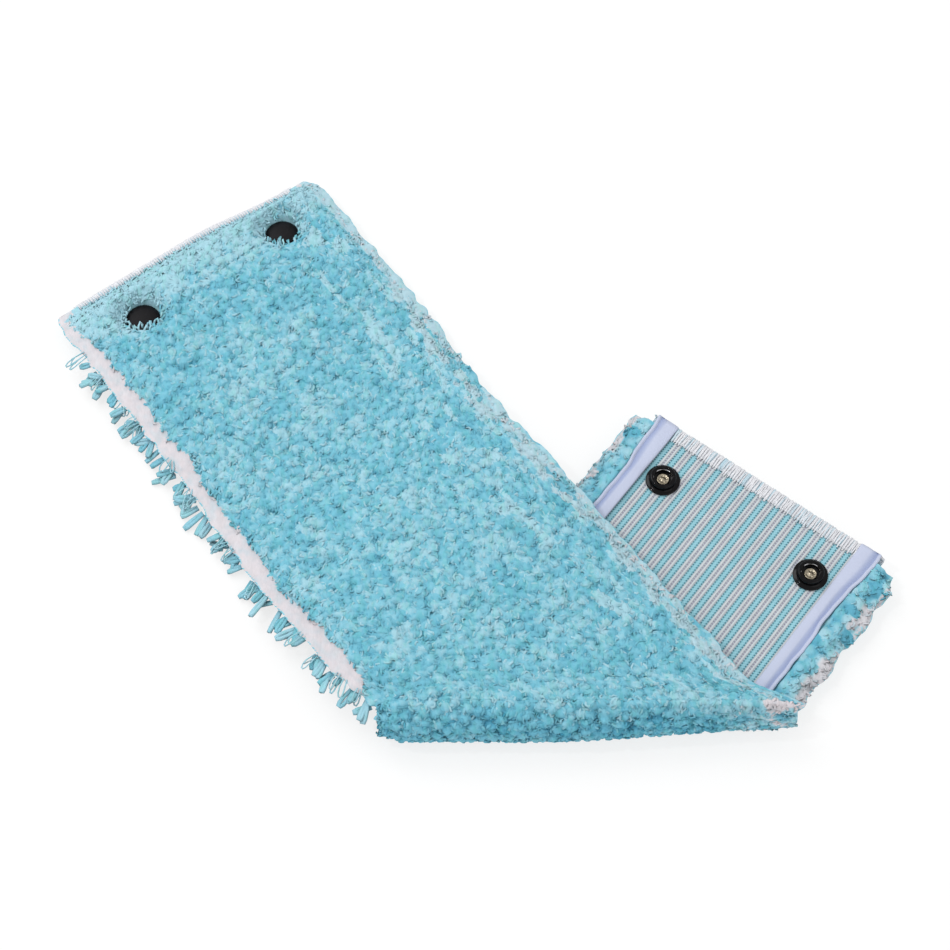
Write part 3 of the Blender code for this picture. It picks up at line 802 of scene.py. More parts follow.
def long_tint(s, c, each):
    """The field's tint, with the pale band of the left edge, streaks and a whitish line near
    the right one, whitish loops along it, and a paler turquoise towards the seamed end."""
    tint = field_tint(s, c, each)
    mottled = 0.875 - 0.065 * soft_patches(s, c, 0.0026, 0.0020, 36)
    at_corner = (s > END_AT["long"] - 0.0040) & (np.abs(c) > CORNER_C)
    tint = np.where((off_band(s, c) < 0) | at_corner, mottled, tint)
    streak = soft_patches(s, c, 0.011, 0.0040, 32) * 0.90 + 0.10 * each
    near_right = smooth_step((c - 0.020) / 0.02)
    streaked = np.maximum(tint, WHITE_STREAK + 0.04 * each)
    tint = np.where(streak > 0.96 - 0.28 * near_right, streaked, tint)
    off_line = c - LINE_C - LINE_WANDER * soft_patches(s, 0 * c, 0.020, 1.0, 37)
    line = soft_patches(s, c, 0.0046, 0.0028, 38) - 0.45 * (off_line / LINE_HALF) ** 2
    tint = np.where((line > 0.25) & (s < LINE_END), WHITE_LINE + 0.03 * each, tint)
    band = soft_patches(s, c, 0.012, 0.004, 33) + 0.5 * smooth_step((s - 0.18) / 0.08)
    tint = np.where((c > BAND_RIGHT) & (band > 0.35), WHITE_STREAK + 0.12 * each, tint)
    at_end = smooth_step((s - 0.255) / 0.035)
    # The tint is made paler towards the seamed end.
    paler_at_end = 0.74 * at_end * (0.35 + 0.65 * soft_patches(s, c, 0.006, 0.006, 34))
    return np.where(tint < MOST_BLUE, np.minimum(tint + paler_at_end, MOST_BLUE), tint)


# %% The surface of the pile
STUD_ROOM, STUD_RING = CAP_RADIUS + 0.0003, 0.0075
SUNK_BEHIND, LESS_IN_FRONT = 0.0046, 0.0024
LOOPS_PROUD, LUMP_DEPTH, BOBBLE_DEPTH, SWELL_DEPTH = 0.00032, 0.0025, 0.0011, 0.0009
BAND_DEPTH, LEAST_PILE = 0.0017, 0.0008
OVER_RIM, PROUD_IN_FRONT, PROUD_BEHIND = 0.0026, 0.0008, 0.0006
EDGE_DROP, END_DROP = 0.52, {"long": 0.72, "short": 0.55}


def in_front(half, ds, dc):
    """0 behind a stud and 1 on its side towards the camera, for distances ds and dc from it:
    a smooth step of how far forward the place is, over the stud's room."""
    (_, ay), (_, cy) = ALONG[half], ACROSS[half]
    return smooth_step(-(ds * ay + dc * cy) / STUD_ROOM - 0.1)


def pile_surface(half, s, c):
    """Height of the yarn bed: lumps with bobbles on them, flatter on the pale band, rounded
    down at the strip's long edges and its seamed end, and sunk in a ring round each stud, less
    so in front of it, where the pile hides a part of the cap."""
    sunk, sunk_by = np.zeros(np.shape(s)), np.zeros(np.shape(s))
    for stud_s, stud_c in stud_places(half):
        ds, dc = s - stud_s, c - stud_c
        here = 1 - smooth_step((np.hypot(ds, dc) - STUD_ROOM) / STUD_RING)
        sunk = np.maximum(sunk, here)
        sunk_by = np.maximum(sunk_by, here * (SUNK_BEHIND - LESS_IN_FRONT * in_front(half, ds, dc)))
    relief = LUMP_DEPTH * (1.0 - lumps(s, c)[0])
    small = BOBBLE_DEPTH * (1.0 - bobbles(s, c))
    swell = SWELL_DEPTH * (soft_patches(s, c, 0.014, 0.012, 41) - 1.0)
    if half == "long":
        banded = smooth_step(0.5 - off_band(s, c) / 0.0012)
        relief = relief + banded * (BAND_DEPTH - relief)
        small = small * (1.0 - 0.25 * banded)
    full = PILE_TOP - LOOPS_PROUD - (relief + small) * (1 - 0.20 * sunk) + swell
    out = smooth_step((np.abs(c) - 0.0560) / 0.0125)
    at_end = smooth_step((s - (END_AT[half] - 0.013)) / 0.010)
    height = (full - PILE_FOOT) * (1 - EDGE_DROP * out) * (1 - END_DROP[half] * at_end)
    return PILE_FOOT + np.maximum(height - sunk_by, LEAST_PILE)


def clear_of_studs(s, c, half):
    """True for feet that stand far enough from each stud: close to it in front, as the picture
    has it, and a fifth of a millimetre further off elsewhere."""
    (_, ay), (_, cy) = ALONG[half], ACROSS[half]
    clear = np.ones(s.shape, bool)
    for stud_s, stud_c in stud_places(half):
        ds, dc = s - stud_s, c - stud_c
        behind = ds * ay + dc * cy > -0.6 * CAP_RADIUS
        clear &= np.hypot(ds, dc) > STUD_ROOM + 0.0002 * behind
    return clear


def grow_half(half, spacing, seed, tint_of):
    """A half's loops: they lean out along its long edges, the ones in front of a stud lean over its
    rim, and along the right edge and the end the painted shade at their feet is mostly lifted by
    painted light."""
    rng = np.random.default_rng(seed)
    end = END_AT[half]
    s, c = jittered_feet(spacing, (-0.06, end - SEAM_FACE - 0.0010), (-FIELD_HALF, FIELD_HALF), rng)
    keep = (s > crease_start(half, c) + 0.0003) & clear_of_studs(s, c, half)
    keep &= np.abs(c) < LOOPS_HALF[half]
    if half == "long":
        keep &= off_band(s, c) > -0.0002
    s, c = s[keep], c[keep]
    out = smooth_step((np.abs(c) - 0.058) / 0.010)
    at_end = smooth_step((s - (end - 0.012)) / 0.009)
    lean_s, lean_c = -0.0002 * at_end, 0.0003 * out * np.sign(c)
    proud = np.full(s.shape, LOOPS_PROUD)
    for stud_s, stud_c in stud_places(half):
        ds, dc = s - stud_s, c - stud_c
        front = in_front(half, ds, dc)
        near = smooth_step(1.0 - (np.hypot(ds, dc) - STUD_ROOM) / 0.0035)
        ring = smooth_step(1.0 - (np.hypot(ds, dc) - STUD_ROOM) / STUD_RING)
        lean_s = lean_s + OVER_RIM * near * front * ALONG[half][1]
        lean_c = lean_c + OVER_RIM * near * front * ACROSS[half][1]
        proud = proud + PROUD_IN_FRONT * near * front + PROUD_BEHIND * ring * (1 - front)
    bed = pile_surface(half, s, c)
    rings, painted_light_level = standing_loops(s, c, bed, proud, (lean_s, lean_c), rng)
    # Painted light: along the right edge and the seamed end the painted shade at the loops' feet is
    # mostly lifted.
    lit = np.maximum(smooth_step((c - 0.053) / 0.005), smooth_step((s - end + 0.011) / 0.005))
    painted_light_level = painted_light_level + 0.7 * (1 - painted_light_level) * lit[:, None, None]
    facing = facing_of(lambda a, b: pile_surface(half, a, b), s, c)
    tint = tint_of(s, c, rng.random(s.size))
    return add_loops(f"pile_loops_{half}", (rings, painted_light_level), tint, LAY[half], facing)


LONG_LOOPS = grow_half("long", 0.00160, 100, long_tint)
SHORT_LOOPS = grow_half("short", 0.0024, 200, field_tint)

# %% The bed under the loops
PUFF_S, PUFF_C = 0.0050, 0.0056
BED_HALF = {"long": PILE_WIDTH / 2 + 0.0006, "short": PILE_WIDTH / 2 - 0.0012}
SCALLOP_DEPTH, SCALLOPED = 0.0032, {"long": 0.6, "short": 1.0}
BED_THIN, CORNER_ROUNDED, LONG_END_OUT = 0.0002, 0.045, 0.0030


def puffs_at(s, c):
    """The larger lumps of the short half's swollen back, and each one's random number."""
    return lumps(s, c, 9, PUFF_S, PUFF_C)[:2]


def pulled_in(half, s):
    """How far the roll of the tape pulls the cloth's edge in: less at the seamed end."""
    return 0.0034 + 0.0020 * smooth_step((END_AT[half] - 0.007 - s) / 0.020)


def puffed_back(half, s, c):
    """The bed's lower side. Under the cloth it is flat. Past the tapes it swells up into soft
    lumps beside them, and then rounds away towards the free edge."""
    past = np.abs(c) - (0.0584 - pulled_in(half, s))
    fall = 0.0046 * smooth_step((past - 0.0040) / 0.0100) - 0.0016
    puffed = fall + 0.0026 * (1 - puffs_at(s, c)[0]) + 0.0012 * (1 - bobbles(s, c))
    return PILE_FOOT + smooth_step(past / 0.0016) * (puffed - PILE_FOOT)


def scallop(s, c):
    """How far the free edges bulge out and in: 1.6 mm at most, by patches along the edge."""
    bulge = soft_patches(s, 4.0 * np.sign(c), 0.0048, 1.0, 35) - 0.50
    return np.sign(c) * SCALLOP_DEPTH * bulge * smooth_step((np.abs(c) - 0.0560) / 0.010)


def puff_tint(s, c, each):
    """Turquoise beside the tape, painted deeper between the lumps as shade, and greyish white towards
    the edge.
    """
    puffs, own = puffs_at(s, c)
    whiter = smooth_step((np.abs(c) - 0.0600 + 0.0060 * (own - 0.5)) / 0.0040)
    # Painted shade: the tint goes deeper between the puffs.
    blue = 0.20 + 0.22 * own + 0.30 * puffs + 0.16 * (each - 0.5)
    return np.where(own > 0.95, 0.25, blue + whiter * (0.80 + 0.06 * each - blue))


def add_bed(half, span, step, tint_of, number):
    """A closed slab of yarn between two parts of the way from the fold to the end. Its top is
    the pile's surface and its back the swollen one. It stops short of the studs' caps, closes
    towards its rims by the square root of a smooth step, its edges are scalloped, and it
    narrows at its end by the square of a smooth step, which rounds the corners."""
    end, side = END_AT[half] - SEAM_FACE - GAP, BED_HALF[half]
    c = np.linspace(-side, side, int(2 * side / step))
    t = np.linspace(*span, int((span[1] - span[0]) * end / step))[:, None]
    if half == "long":
        end = end + LONG_END_OUT * smooth_step((np.abs(c) - 0.0574) / 0.0012)
    start = crease_start(half, c)
    s = start + t * (end - start)
    c = np.broadcast_to(c, s.shape)
    edge = 1 - smooth_step((np.abs(c) - (side - 0.0022)) / 0.0022)
    tail = 1 - smooth_step((s - (end - 0.0018)) / 0.0018)
    pit = np.ones(s.shape)
    for stud_s, stud_c in stud_places(half):
        pit *= smooth_step((np.hypot(s - stud_s, c - stud_c) - CAP_RADIUS - 0.0001) / 0.0010)
    low = PILE_FOOT + BED_THIN
    top = low + (pile_surface(half, s, c) - low) * np.sqrt(tail) * pit
    back = np.minimum(puffed_back(half, s, c), top - 0.0001)
    middle = 0.5 * (top + back)
    top, back = middle + (top - middle) * np.sqrt(edge), middle + (back - middle) * np.sqrt(edge)
    puffs = puffs_at(s, c)[0]
    c = c + scallop(s, c) * SCALLOPED[half]
    c = c * (1 - CORNER_ROUNDED * smooth_step((s - END_AT[half] + 0.009) / 0.009) ** 2)
    grid = slab_points(s, c, top, back)
    even = np.full(s.shape, 0.5)
    under = puff_tint(s, c, even) if half == "short" else np.full(s.shape, 0.35)
    tint = np.stack((tint_of(s, c, even), under))
    up = np.zeros(grid.shape)
    up[0, ..., 2] = (half == "long") & (off_band(s, c) < 0.0005)
    up[1, ..., 2] = half == "short"
    # Painted shade: the painted light level is low between the lumps and bobbles of the bed's top,
    # and between the puffs of its back.
    top_painted_light = 0.42 + 0.30 * lumps(s, c)[0] + 0.25 * bobbles(s, c)
    painted_light_level = np.stack((top_painted_light, 0.25 + 0.75 * puffs))
    return add_piece(f"pile_bed_{half}_{number}", LAY[half](grid), slab_quads(*s.shape), YARN,
                     values={"tint": tint, "painted_light_level": painted_light_level, "soft": up}, sharp=80)


LONG_BEDS = [add_bed("long", span, 0.00066, long_tint, k + 1)
             for k, span in enumerate(((0.0, 0.34), (0.34, 0.67), (0.67, 1.0)))]
SHORT_BEDS = [add_bed("short", (0.0, 1.0), 0.00072, field_tint, 1)]

# %% [markdown]
# ## The pile round the fold
# At the fold the loops fan out, so the lumps are deeper there and show in slanting rows. Their
# feet are spread over the half turn measured at the height of their tops. These pieces are baked
# where they lie round the fold and ride on neither half's body.

# %% Loops round the fold
FOLD_SPAN = PILE_WIDTH / 2 / SIN
FOLD_LENGTH = math.pi * PILE_ROUND_FOLD


def lay_fold_pile(points):
    """The fold with its turn measured at the height of the loops' tops."""
    return lay_fold(points, PILE_ROUND_FOLD)


def fold_blend(obj):
    """The piece is baked where it lies round the fold and rides on neither half's body."""
    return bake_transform(obj)


def to_strip(x, y):
    """Measures s and c of a plan point x along the fold and y beyond it, on the long half."""
    return -x * COS + y * SIN, x * SIN + y * COS


def off_halves(s, c):
    """How far a place of the fold is, round it, from the nearer half."""
    return np.minimum(-(s * SIN + c * COS), FOLD_LENGTH + s * SIN + c * COS)


def fold_surface(s, c, x):
    """The bed round the fold: it meets the halves' beds at both ends of the turn, with deeper
    lumps between them, it is lower at the fold's two ends, and flatter towards the right."""
    fanned = smooth_step(off_halves(s, c) / 0.007)
    out = smooth_step((np.abs(x) - (FOLD_SPAN - 0.012)) / 0.011)
    full = PILE_TOP - LOOPS_PROUD - (0.0027 + 0.0018 * fanned) * (1.0 - lumps(s, c)[0])
    full = full - BOBBLE_DEPTH * (1.0 - bobbles(s, c))
    full = full - (0.0010 + 0.0056 * smooth_step((x + 0.02) / (FOLD_SPAN + 0.02))) * fanned
    return PILE_FOOT + (full - PILE_FOOT) * (1 - 0.35 * out)


def fold_tint(s, c, each):
    """The field's tint with more pale flecks, which is painted deeper towards the fold's middle as
    shade and grows whiter in patches towards its right end."""
    paler = smooth_step((c * SIN - s * COS - 0.045) / 0.035) * soft_patches(s, c, 0.004, 0.004, 39)
    # Painted shade: the tint goes deeper towards the middle of the fold's half turn.
    tint = field_tint(s, c, each, 0.84) - 0.16 * smooth_step((off_halves(s, c) + 0.001) / 0.013)
    return np.maximum(tint, tint + 0.62 * paler)


def grow_fold(spacing, seed):
    """Feet on a grid of x along the fold and y round it, turned into s and c of the strip."""
    rng = np.random.default_rng(seed)
    y, x = jittered_feet(spacing, (-FOLD_LENGTH, 0.0), (-FOLD_SPAN + 0.0026, FOLD_SPAN - 0.0026), rng)
    s, c = to_strip(x, y)
    lean_x = 0.0006 * smooth_step((np.abs(x) - (FOLD_SPAN - 0.011)) / 0.009) * np.sign(x)
    tubes = standing_loops(s, c, fold_surface(s, c, x), LOOPS_PROUD, (-lean_x * COS, lean_x * SIN),
                           rng, (0.00046, 0.00066))
    facing = facing_of(lambda a, b: fold_surface(a, b, x), s, c)
    tint = fold_tint(s, c, rng.random(s.size))
    return add_loops("pile_loops_fold", tubes, tint, lay_fold_pile, facing)


def add_fold_bed():
    """A lumpy half round under the loops of the fold."""
    x = np.linspace(-FOLD_SPAN + 0.0014, FOLD_SPAN - 0.0014, 240)
    y = np.linspace(-FOLD_LENGTH - 0.0004, 0.0004, 56)[:, None]
    x, y = np.broadcast_arrays(x, y)
    s, c = to_strip(x, y)
    edge = 1 - smooth_step((np.abs(x) - (FOLD_SPAN - 0.0040)) / 0.0026)
    low = PILE_FOOT + BED_THIN
    top = low + (fold_surface(s, c, x) - low) * np.sqrt(edge)
    grid = slab_points(s, c, top, PILE_FOOT)
    # Painted shade: the fold's bed gets a lower painted light level between its lumps.
    tint, painted_light_level = fold_tint(s, c, np.full(s.shape, 0.5)), 0.40 + 0.45 * lumps(s, c)[0]
    return add_piece("pile_bed_fold", lay_fold_pile(grid), slab_quads(*s.shape), YARN,
                     values={"tint": np.stack((tint, tint)), "painted_light_level": np.stack((painted_light_level, painted_light_level))})


FOLD_LOOPS = grow_fold(0.00160, 400)
FOLD_BED = add_fold_bed()

# %% [markdown]
# ## The fringe
# Along the long edges the outermost loops hang free. On the left edge of the long half they are
# petals, narrow at the root and wide at the end, with gaps where the floor shows through, and a
# few thin open loops among them. They are the same hairpins as the pile's, laid on their side.
# The free edges of the short half swell up behind the tapes, and short loops stand all over
# that swollen back, turquoise near the tape and white at the edge.

# %% Free loops along the edges
PETALS = {
    "spacing": 0.0041, "loops": (1, 2), "spread": 0.26, "length": (0.0074, 0.0102),
    "width": (0.0006, 0.0010), "thick": (0.00084, 0.00112), "root_c": 0.0662,
    "root_n": (0.0006, 0.0034), "climb": (-0.22, 0.1), "sag": (-0.0012, 0.0), "end_gap": 0.030}
THIN_LOOPS = {
    "spacing": 0.0130, "loops": (0, 3), "spread": 0.12, "length": (0.0070, 0.0095),
    "width": (0.0009, 0.0015), "thick": (0.00026, 0.00034), "root_c": 0.0660,
    "root_n": (0.003, 0.007), "climb": (-0.25, 0.12), "sag": (-0.004, -0.001), "end_gap": 0.022}


def edge_clumps(length, spacing, loops, spread, rng):
    """Places along an edge in clumps: clump middles about a spacing apart, and loops spread
    round them, with a direction for each loop that fans out of its clump."""
    middles = np.arange(spacing / 2, length, spacing)
    middles = middles + rng.uniform(-0.22, 0.22, middles.size) * spacing
    many = rng.integers(loops[0], loops[1] + 1, middles.size)
    middle = np.repeat(middles, many)
    offset = rng.normal(0, spread, middle.size)
    tilt = np.repeat(rng.normal(0, 0.25, middles.size), many)
    fan = tilt + offset / spread * 0.24 + rng.normal(0, 0.22, middle.size)
    return middle + offset, fan, np.repeat(rng.random(middles.size), many)


def grow_fringe(name, seed, tint_of, form):
    """Lying loops along the long half's left edge, from the fold to near the seamed end. The
    form says how they are spaced and shaped: root_c and root_n are where they start, climb is
    how steeply they rise, and sag how far their ends sink. They may hang over the fold."""
    rng = np.random.default_rng(seed)
    start, end = float(crease_start("long", -form["root_c"])), END_AT["long"] - form["end_gap"]
    along, fan, clump = edge_clumps(end - start, form["spacing"], form["loops"],
                                    form["spacing"] * form["spread"], rng)
    s = np.clip(start + along, start, end)
    count = s.size
    root = np.stack((s, -form["root_c"] + rng.normal(0, 0.0007, count),
                     rng.uniform(*form["root_n"], count)), -1)
    out = np.stack((np.sin(fan), -np.cos(fan), rng.uniform(*form["climb"], count)), -1)
    length = rng.uniform(*form["length"], count) * (0.66 + 0.6 * clump)
    width, sag, thick = (rng.uniform(*form[key], count) for key in ("width", "sag", "thick"))
    tubes = lying_loops(root, out, length, width, sag, thick, rng)
    return add_loops(name, tubes, tint_of(clump, rng.random(count)),
                     lambda points: lay_long(points, free=True))


def petal_tint(clump, each):
    """Turquoise with a few pale loops."""
    return np.where(each > 0.90, 0.64, 0.42 + 0.12 * clump + 0.16 * each)


def thin_tint(clump, each):
    """Pale grey turquoise."""
    return 0.58 + 0.2 * each


def grow_back(side, label, seed):
    """Short loops all over the swollen back of the short half's edge: standing loops turned
    upside down, so that they stand out of its back."""
    rng = np.random.default_rng(seed)
    s, c = jittered_feet(0.0018, (-0.06, SHORT_HALF - 0.004), (0.0560, PILE_WIDTH / 2 - 0.0026), rng)
    c = side * c
    keep = s > crease_start("short", c) + 0.0006
    s, c = s[keep], c[keep]
    lean = 0.0010 * smooth_step((np.abs(c) - 0.060) / 0.006) * side
    rings, painted_light_level = standing_loops(s, c, -puffed_back("short", s, c), 0.00022, (0.0, lean), rng,
                                (0.00036, 0.00052))
    rings[..., 2] *= -1.0
    rings[..., 1] += scallop(s, c)[:, None, None]
    return add_loops(f"fringe_short_{label}_back", (rings, painted_light_level), puff_tint(s, c, rng.random(s.size)),
                     lay_short, -facing_of(lambda a, b: -puffed_back("short", a, b), s, c))


FRINGES = {
    "long": (grow_fringe("fringe_long_left_petals", 500, petal_tint, PETALS)
             + grow_fringe("fringe_long_left_loops", 501, thin_tint, THIN_LOOPS)),
    "short": grow_back(-1, "left", 519) + grow_back(1, "right", 521)}

# %% [markdown]
# ## The ground cloth
# The cloth is woven with a pair of raised white cords in every stripe. The cords stand up from
# the mesh itself, because they catch the light at this size, and the much finer stitches come
# from the material. Each half is one closed sheet, with the cut on the fold's slanting line.

# %% Cloth sheets
CORD_HEIGHT, CORD_HALF = 0.00026, 0.11
CLOTH_COLUMNS = 421


def drawn_in(half, s, c):
    """c with the strip's edge pulled inwards, as the roll of the tape does."""
    return c - np.sign(c) * pulled_in(half, s) * smooth_step((np.abs(c) - 0.0470) / 0.0105)


def cord_height(c):
    """Two raised cords a period, each a squared cosine across, and flat under the tapes."""
    q = np.mod((c - FIRST_BAND) / STRIPE_PERIOD, 1.0)
    cords = sum(np.cos(np.clip((q - middle) / CORD_HALF, -1, 1) * math.pi / 2) ** 2
                for middle in CORD_PLACES)
    return CORD_HEIGHT * smooth_step((-FIRST_BAND + 0.0004 - np.abs(c)) / 0.0006) * cords


def add_cloth(half, rows):
    """A closed sheet over the strip's width: its back carries the cords and its face is flat."""
    side = CLOTH_WIDTH / 2 - GAP
    c = np.linspace(-side, side, CLOTH_COLUMNS)
    t = np.linspace(0.0, 1.0, rows)[:, None]
    start = crease_start(half, c)
    s = start + t * (END_AT[half] - start)
    c = np.broadcast_to(c, s.shape)
    back = 0.00002 - cord_height(c)
    uv = np.stack((np.stack((c, s), -1),) * 2)
    c = drawn_in(half, s, c)
    grid = slab_points(s, c, back, CLOTH)
    return add_piece(f"ground_cloth_{half}", LAY[half](grid), slab_quads(*s.shape), STRIPED_CLOTH, uv)


def fold_layer(name, c_span, n_span, material):
    """A thin layer wound round the fold, its turn measured at the bend radius."""
    x = np.linspace(c_span[0] / SIN, c_span[1] / SIN, 60)
    y = np.linspace(-math.pi * BEND_RADIUS, 0.0, 13)[:, None]
    x, y = np.broadcast_arrays(x, y)
    s, c = to_strip(x, y)
    grid = slab_points(s, c, *n_span)
    uv = np.stack((grid[..., 1], grid[..., 0]), -1)
    return add_piece(name, lay_fold(grid, BEND_RADIUS), slab_quads(*s.shape), material, uv)


LONG_CLOTH, SHORT_CLOTH = add_cloth("long", 70), add_cloth("short", 24)
FOLD_CLOTH = fold_layer("ground_cloth_fold", (-CLOTH_WIDTH / 2, CLOTH_WIDTH / 2), (0.0, CLOTH),
                        STRIPED_CLOTH)

# %% [markdown]
# ## Edge tapes
# A tape covers each long edge of the back. It lies flat at its inner edge, is pulled down into a
# groove by its seam, and its outer edge is rolled and wavy, since the pile pushes it about. One
# closed profile across the tape is carried along the edge, and the waves move its outer part.

# %% Tapes as carried profiles
# The profile in mm: across the strip from its middle, and out of the cloth's back.
TAPE_PROFILE = np.array([
    (46.0, 0.40), (46.1, 0.85), (46.5, 1.12), (47.6, 1.30), (49.4, 1.42), (51.4, 1.46),
    (53.6, 1.40), (54.5, 1.30), (55.4, 1.15), (56.6, 0.80), (57.3, 0.55), (57.6, 0.62),
    (57.8, 1.00), (58.1, 1.35), (58.5, 1.50), (58.9, 1.38), (59.2, 1.00), (59.2, 0.45),
    (58.8, 0.05), (58.2, 0.32), (57.0, 0.36), (52.0, 0.34), (47.0, 0.32), (46.2, 0.32)]) * 0.001
TAPE_ROWS = {"long": 130, "short": 70}
TAPE_WAVES = ((0.00030, 0.037), (0.00020, 0.021), (0.00012, 0.0105))


def add_tape(half, label, side, seed):
    """The tape's profile carried along one long edge: the part outside the groove wanders in
    and out by three sine waves of a given size and pace, and flares at the seamed end."""
    rng = np.random.default_rng(seed)
    w, h = TAPE_PROFILE[:, 0], TAPE_PROFILE[:, 1]
    t = np.linspace(0.0, 1.0, TAPE_ROWS[half])[:, None]
    start = crease_start(half, side * w)
    s = start + t * (END_AT[half] + 0.0009 - start)
    waves = sum(size * np.sin(2 * math.pi * s / pace + rng.uniform(0, 6.28))
                for size, pace in TAPE_WAVES)
    outer = smooth_step((w - 0.0545) / 0.003)
    flare = 0.0006 * smooth_step((s - (END_AT[half] - 0.010)) / 0.010)
    lift = 1 + 0.16 * np.sin(2 * math.pi * s / 0.023 + rng.uniform(0, 6.28)) * outer
    c = drawn_in(half, s, side * (w + outer * (waves + flare)))
    depth = h * lift
    if half == "long":
        depth = np.minimum(depth, LOW_BACK_Z - 0.0001)
    grid = np.stack((s, c, -depth), -1)
    run = np.concatenate(((0,), np.cumsum(np.hypot(np.diff(w), np.diff(h)))))
    uv = np.stack((0 * s + run, s), -1)
    return add_piece(f"tape_{half}_{label}", LAY[half](grid), tube_quads(1, *s.shape)[0],
                     PALE_TAPE, uv)


TAPES = {}
for half in ("long", "short"):
    for label, side in SIDES.items():
        TAPES[half, label] = add_tape(half, label, side, 600 + len(TAPES))
for label, side in SIDES.items():
    edges = sorted((side * CLOTH_WIDTH / 2, side * TAPE_INNER_EDGE))
    TAPES["fold", label] = fold_layer(f"tape_fold_{label}", edges, (-GAP - TAPE, -GAP), PALE_TAPE)

# %% [markdown]
# ## Overlock seams
# Each cut end is bound by an overlock seam: threads that run from a needle line on the back,
# slanting, over the raw edge and back to a needle line on the face. A striped texture would do
# from afar, but the edge would stay smooth, and on the real one it is finely notched. So every
# thread is a tube along a path of nine points, on a thin band that closes the gaps.

# %% Threads of the overlock seams
THREAD_PITCH, THREAD_RADIUS, THREAD_SIDES = 0.00125, 0.00034, 6
# A thread's route: mm along the strip from its end, mm through it, and the part of its slant.
ROUTE = np.array([(-5.9, -0.30, 0.0), (-4.2, -0.72, 0.12), (-2.1, -0.84, 0.3), (-0.1, -0.72, 0.42),
                  (0.75, -0.1, 0.5), (0.85, 1.0, 0.58), (0.35, 1.95, 0.68), (-1.2, 2.25, 0.85),
                  (-2.9, 2.12, 1.0)]) * (0.001, 0.001, 1.0)
ROUTE_ON_BACK, HIDDEN_BY_TAPE = 4, 0.0053
# The band's outline, in mm along the strip from its end and through it.
BAND_OUTLINE = np.array([(-5.4, -0.32), (0.15, -0.32), (0.30, -0.15), (0.30, 1.65), (0.15, 1.80),
                         (-2.9, 1.80), (-2.9, 2.02), (0.25, 2.05), (0.60, 1.70), (0.60, -0.25),
                         (0.30, -0.55), (-5.4, -0.46)]) * 0.001


def over_band(c):
    """1 over the cloth's turquoise bands, whose yarn shows between the threads, else 0."""
    q = np.mod((c - FIRST_BAND) / STRIPE_PERIOD, 1.0)
    return smooth_step(q / 0.06) * smooth_step((0.48 - q) / 0.06)


def add_overlock(half, seed):
    """Threads over an end: for each stitch one slants left and one right, and each climbs from
    its needle line over the edge. Between the tapes they start on the back, beside it the
    tapes hide that leg, so there they start at the edge."""
    rng = np.random.default_rng(seed)
    end, side = END_AT[half], CLOTH_WIDTH / 2 - 0.0006
    c0 = np.arange(-side, side, THREAD_PITCH)
    c0 = np.concatenate((c0, c0 + THREAD_PITCH * 0.5)) + rng.normal(0, 0.00013, 2 * c0.size)
    count, stations = c0.size, len(ROUTE)
    way = np.where(np.arange(count) < count // 2, 1.0, -1.0)
    slant = way * THREAD_PITCH * rng.uniform(0.36, 0.56, count)
    reach = 1.0 + rng.normal(0, 0.09, count)
    s = end + ROUTE[:, 0] * np.where(ROUTE[:, 0] < 0, reach[:, None], 1.0)
    s = s + (ROUTE[:, 0] > 0.0005) * rng.normal(0, 0.00012, count)[:, None]
    n = ROUTE[:, 1] + 0 * s
    c = c0[:, None] + slant[:, None] * (ROUTE[:, 2] - 0.5) + rng.normal(0, 0.00008, s.shape)
    beside_tape = np.abs(c0) > TAPE_INNER_EDGE - 0.0002
    hidden = beside_tape[:, None] & (np.arange(stations) < ROUTE_ON_BACK)[None]
    s = np.where(hidden, end + 0.0003, s)
    n = np.where(hidden, 0.0002 + 0.00018 * (np.arange(stations) - ROUTE_ON_BACK), n)
    thick = np.full(s.shape, THREAD_RADIUS) * rng.uniform(0.85, 1.15, count)[:, None]
    rings = tube_rings(np.stack((s, c, n), -1), np.array((0.0, 1.0, 0.0)), thick, THREAD_SIDES)
    round_it, along_it = np.arange(THREAD_SIDES) * 0.0003, np.arange(stations) * 0.0011
    uv = np.stack((round_it + 0 * rings[..., 0], along_it[:, None] + 0 * rings[..., 0]), -1)
    chance = 0.14 + 0.4 * over_band(c0) if half == "short" else 0.0
    caught = np.where(rng.random(count) < chance, rng.uniform(0.2, 0.7, count), 0.05)
    tint = np.broadcast_to(caught[:, None, None], rings.shape[:3])
    return add_piece(f"overlock_threads_{half}", LAY[half](rings),
                     tube_quads(count, stations, THREAD_SIDES), THREAD, uv, {"tint": tint})


def add_overlock_band(half):
    """The band under the threads: a flat channel round the raw edge, a closed outline in s and
    n carried across the strip. Beside the tapes its back leg is short and lies under them."""
    side, rows = CLOTH_WIDTH / 2 - 0.0004, 150
    along, through = BAND_OUTLINE[:, 0], BAND_OUTLINE[:, 1]
    c = np.linspace(-side, side, rows)[:, None]
    beside = smooth_step((np.abs(c) - (TAPE_INNER_EDGE - 0.0004)) / 0.0004)
    s = END_AT[half] + along + beside * ((through < 0) & (along < 0)) * HIDDEN_BY_TAPE
    n = through + beside * (through < 0) * 0.00035 + 0 * s
    c = c + 0 * s
    uv = np.stack((c, s), -1)
    flecks = smooth_step(soft_patches(c, s, 0.0012, 0.0030, 77) * 3 - 1.0)
    on_face = (through > 0.0015) & (along < -0.0025)
    tint = np.where(on_face, 1.0, 0.08 + 0.55 * flecks * over_band(c))
    return add_piece(f"overlock_band_{half}", LAY[half](np.stack((s, c, n), -1)),
                     tube_quads(1, *s.shape)[0], THREAD, uv, {"tint": tint})


SEAMS = {half: (add_overlock(half, 700), add_overlock_band(half)) for half in ("long", "short")}

